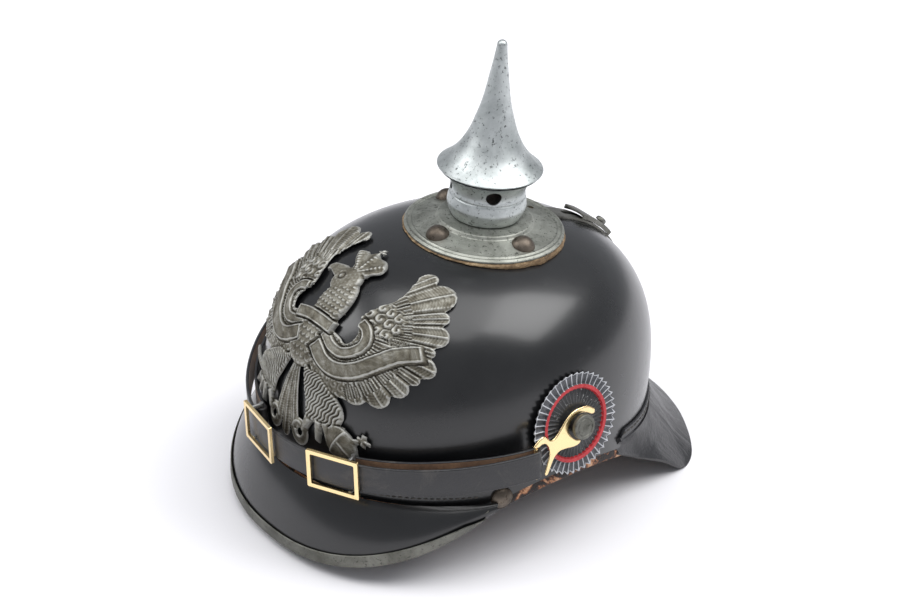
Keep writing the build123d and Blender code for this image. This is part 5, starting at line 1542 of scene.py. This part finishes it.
# %% The two brass hooks
claw_back = [(10.3, 6.1), (5.8, 8.9), (0.8, 9.3), (-4.0, 8.5), (-7.8, 6.4), (-10.4, 4.0), (-12.8, 1.4), (-16.2, -1.9)]
upper_tail = [(-19.0, -2.6), (-21.6, -1.1), (-23.6, 1.2), (-26.4, 1.9), (-29.6, 0.4), (-31.7, -1.6), (-31.2, -3.0),
              (-29.2, -3.1), (-26.6, -2.2), (-23.9, -3.0), (-21.4, -5.6)]
lower_tail = [(-20.8, -8.5), (-21.6, -11.4), (-23.1, -14.1), (-24.7, -17.4), (-24.9, -19.4), (-23.3, -20.1),
              (-21.6, -18.6), (-18.7, -14.6), (-15.3, -11.2), (-12.2, -10.2)]
claw_tip = [(-8.6, -10.3), (-4.6, -10.7), (-1.2, -10.4), (0.5, -9.0), (-0.3, -7.8), (-3.0, -6.9)]
claw_throat = [(-5.8, -4.3), (-7.4, -0.8), (-6.6, 2.4), (-4.4, 4.7), (-1.6, 5.9), (1.4, 6.1), (5.0, 5.3), (8.2, 3.6),
               (10.2, 3.9)]
hook_outline = through(claw_back + upper_tail + lower_tail + claw_tip + claw_throat + claw_back[:1], 150)[:-1]
HOOK_BASE, HOOK_WALL, HOOK_STEP = 4.3, 1.2, 2.1
BAR_HALF, BAR_THICK = 9.4, 1.05


def hook_depth(u, v):
    """Signed distance to a hook's outline."""
    return depth_in(hook_outline, u, v)


u, v, hook_faces = cut_sheet((-34, -23), (13, 12), 0.45, hook_depth)
rise = HOOK_STEP * np.clip((-17.0 - u) / 9.0, 0, 1) ** 1.3 - 0.55 * (1 - bump(hook_depth(u, v), 1.0))
points = at_post(np.stack([u, v, HOOK_BASE + 1.4 + rise], axis=-1))
bar_middle = strap_place(HOOK) - strap_out(HOOK) * FOLD
bar_line = [(0, 0), (BAR_THICK, 0), (BAR_THICK, 2 * BAR_HALF), (0, 2 * BAR_HALF)]
bar_foot = frame_at(strap_3d(bar_middle, -BAR_HALF), strap_across, (1, 0, 0))
bar_points, bar_faces = lathe(bar_line, 24, bar_foot)
for side, name in SIDES:
    hook = add_piece("hook_claw_" + name, on_side(points, side), hook_faces, brass, body="strap",
                     replaces=["strap_hook_" + name])
    thicken(hook, HOOK_WALL)
    add_piece("hook_bar_" + name, on_side(bar_points, side), bar_faces, brass, body="strap")
print("hooks", len(points), "points each")

# %% [markdown]
# ## Visor studs
# Where the strip ends, a domed stud on each side goes through strip, visor and shell.

# %% The strip's end studs
STUD_Y, STUD_LEVEL, SHANK_RADIUS, SHANK_LENGTH = -38.6, -13.0, 1.6, 3.1
x = float(HALF[0] * sqrt((1 - (-STUD_LEVEL / HALF[2]) ** POWER) ** (2 / POWER) - (STUD_Y / HALF[1]) ** 2))
normal = np.array([x / HALF[0] ** 2, STUD_Y / HALF[1] ** 2, 0])
shank = [(5.7, 1.0), (SHANK_RADIUS, 0.9), (SHANK_RADIUS, -SHANK_LENGTH), (0, -SHANK_LENGTH)]
profile = dome_profile(6.0, 4.1, 1.2)[:-2] + shank
points, faces = lathe(profile, 48, frame_at([x, STUD_Y, STUD_LEVEL], normal, (0, 0, 1)))
points, faces = joined([(points, faces), (mirrored(points), faces)])
end_studs = add_piece("strip_end_studs", points, faces, brown_steel, replaces=["trim_end_studs"],
                      sharp=60)
model_low, model_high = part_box("trim_end_studs")
print("studs", measured(end_studs), "in the model", [round(float(v), 3) for v in model_high - model_low])

# %% [markdown]
# ## Liner
# Inside, a leather sweatband follows the rim, and ten tongues sewn to it meet under the crown. Each tongue has
# a lace hole. They are what the wearer's head touches, so they are browner and smoother than the shell.

# %% The sweatband
BAND_LIFT, BAND_TOP = 3.9, 15.0
band_low = rim_line(COLUMNS, -BAND_LIFT)
turns = np.degrees(np.arctan2(band_low[:, 0] / HALF[0], -band_low[:, 1] / HALF[1]))
band_high = dome(turns, np.full(COLUMNS, BAND_TOP))
sheet = between(band_low, band_high, 15) / HALF
outer, inner = push_out(sheet, -3.32), push_out(sheet, -4.88)[::-1]
points, faces = loft(np.concatenate([outer, inner]), ring=True)
band = add_piece("sweatband_leather", points, faces, lining, replaces=["sweatband"])
print("sweatband", measured(band))

# %% The tongues
LINER = HALF + np.array([-5.2, -5.2, -22.0])
TONGUES, TONGUE_WALL, LACE_LEVEL, LACE_RADIUS = 10, 1.0, 53, 2.0


def on_liner(x, z, turn):
    """A place of the liner's crown: x across a tongue, z its height, for a tongue at a turn."""
    size = LINER - 0.1
    spread = (1 - np.abs(z / size[2]) ** POWER) ** (1 / POWER)
    c, s = cos(radians(turn)), sin(radians(turn))
    a = (s / size[0]) ** 2 + (c / size[1]) ** 2
    b = x * c * s * (1 / size[0] ** 2 - 1 / size[1] ** 2)
    k = (x * c / size[0]) ** 2 + (x * s / size[1]) ** 2 - spread ** 2
    far = (-b + np.sqrt(np.maximum(b ** 2 - a * k, 0))) / a
    return np.stack([x * c + far * s, x * s - far * c, z], axis=-1)


flank = [(21, 6), (19.5, 22), (14.0, 38), (7, LACE_LEVEL)]
tip_arc = [(7 * cos(t), LACE_LEVEL + 7 * sin(t)) for t in np.linspace(0, pi, 16)]
tongue = np.concatenate([[(-21, 6), (21, 6)], through(flank, 20)[1:], tip_arc[1:-1],
                         through([(-x, z) for x, z in flank[::-1]], 20)[:-1]])


def tongue_depth(u, v):
    """Signed distance to a tongue with its lace hole."""
    return np.minimum(depth_in(tongue, u, v), np.hypot(u, v - LACE_LEVEL) - LACE_RADIUS)


u, v, leaf_faces = cut_sheet((-22, 5), (22, 61), 1.1, tongue_depth)
points, faces = joined([(on_liner(u, v, 360 / TONGUES * step), leaf_faces.tolist()) for step in range(TONGUES)])
leaves = add_piece("liner_leaves", points, faces, lining, replaces=["liner_tongues"])
thicken(leaves, TONGUE_WALL)

# %% [markdown]
# ## Small hardware from the model
# The other pieces are right as the model has them. They only need their finish and a fine broken edge,
# because no stamped or cast edge is perfectly sharp. Beside each finish stands the edge's width in millimetres.

# %% Finishes for the model's own pieces
kept = {
    "rear_spine": (aged, 0.25), "spine_rivet": (aged, 0.1), "vent_cover": (aged, 0.15),
    "cover_knob": (aged, 0.15), "inner_washer": (bare, 0.2), "spike_socket": (bare, 0.2),
    "bayonet_ring": (bare, 0.15), "eagle_lugs": (aged, 0.15), "eagle_pins": (inside, 0.3),
    "post_nut_left": (bare, 0.25), "post_nut_right": (bare, 0.25),
    "buckle_frame_left": (brass, 0.35), "buckle_frame_right": (brass, 0.35),
    "buckle_bar_left": (bare, 0.1), "buckle_bar_right": (bare, 0.1),
}
for name, (finish, edge_width) in kept.items():
    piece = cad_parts[name]
    piece.data.materials.clear()
    piece.data.materials.append(finish.material)
    for face in piece.data.polygons:
        face.material_index = 0
        face.use_smooth = True
    piece.data.set_sharp_from_angle(angle=radians(32))
    broken = piece.modifiers.new("broken_edge", "BEVEL")
    broken.width = edge_width / 1000
    broken.segments = 2
    broken.limit_method = "ANGLE"
    broken.angle_limit = radians(42)
    broken.harden_normals = True
print("finished", len(kept), "pieces")

# %% [markdown]
# ## Table and light
# The photograph has a white table and very soft light. A large soft light hangs high at the rear right, a second
# at the front left fills, and the pale room shows in the lacquer as broad, weak reflections.

# %% The table
table = bpy.data.meshes.new("table")
table.from_pydata([(-4, -4, 0), (4, -4, 0), (4, 4, 0), (-4, 4, 0)], [], [(0, 1, 2, 3)])
cloth = Finish("white_table")
white = cloth.curve(cloth.grain(400, 2), (0.3, (0.895, 0.885, 0.905)), (0.7, (0.905, 0.895, 0.915)))
cloth.set(Base_Color=white, Roughness=0.9, Specular_IOR_Level=0.0, Normal=cloth.relief(cloth.grain(2.0), 0.01))
floor = bpy.data.objects.new("table", table)
floor.data.materials.append(cloth.material)
bpy.context.scene.collection.objects.link(floor)
print("table", measured(floor))


# %% The lights
def soft_light(name, place_m, target, size, watts):
    """A rectangular soft light that looks at a target."""
    data = bpy.data.lights.new(name, "AREA")
    data.shape = "RECTANGLE"
    data.size, data.size_y = size
    data.energy = watts
    light = bpy.data.objects.new(name, data)
    light.location = place_m
    light.rotation_euler = (Vector(target) - Vector(place_m)).to_track_quat("-Z", "Y").to_euler()
    bpy.context.scene.collection.objects.link(light)


soft_light("key", (0.7, 0.9, 1.5), (0, 0, 0.08), (1.3, 1.0), 20)
soft_light("fill", (-0.9, -1.0, 1.3), (0, 0, 0.08), (0.9, 0.9), 10.5)
soft_light("top", (0.1, -0.1, 1.9), (0, 0, 0), (1.6, 1.6), 19)

# %% The room: pale behind the helmet, greyer as light
room = bpy.data.worlds.new("room")
walls = Nodes(room)
seen = walls.node("ShaderNodeBackground", {}, {"Color": (0.955, 0.955, 0.975)})
glow = walls.node("ShaderNodeBackground", {}, {"Color": (0.60, 0.62, 0.66), "Strength": 0.66})
by_camera = walls.node("ShaderNodeLightPath", output="Is Camera Ray")
either = walls.node("ShaderNodeMixShader", {}, {0: by_camera, 1: glow, 2: seen})
walls.node("ShaderNodeOutputWorld", {}, {"Surface": either})
bpy.context.scene.world = room
bpy.context.scene.view_settings.view_transform = "Standard"
print("room nodes:", len(walls.tree.nodes))
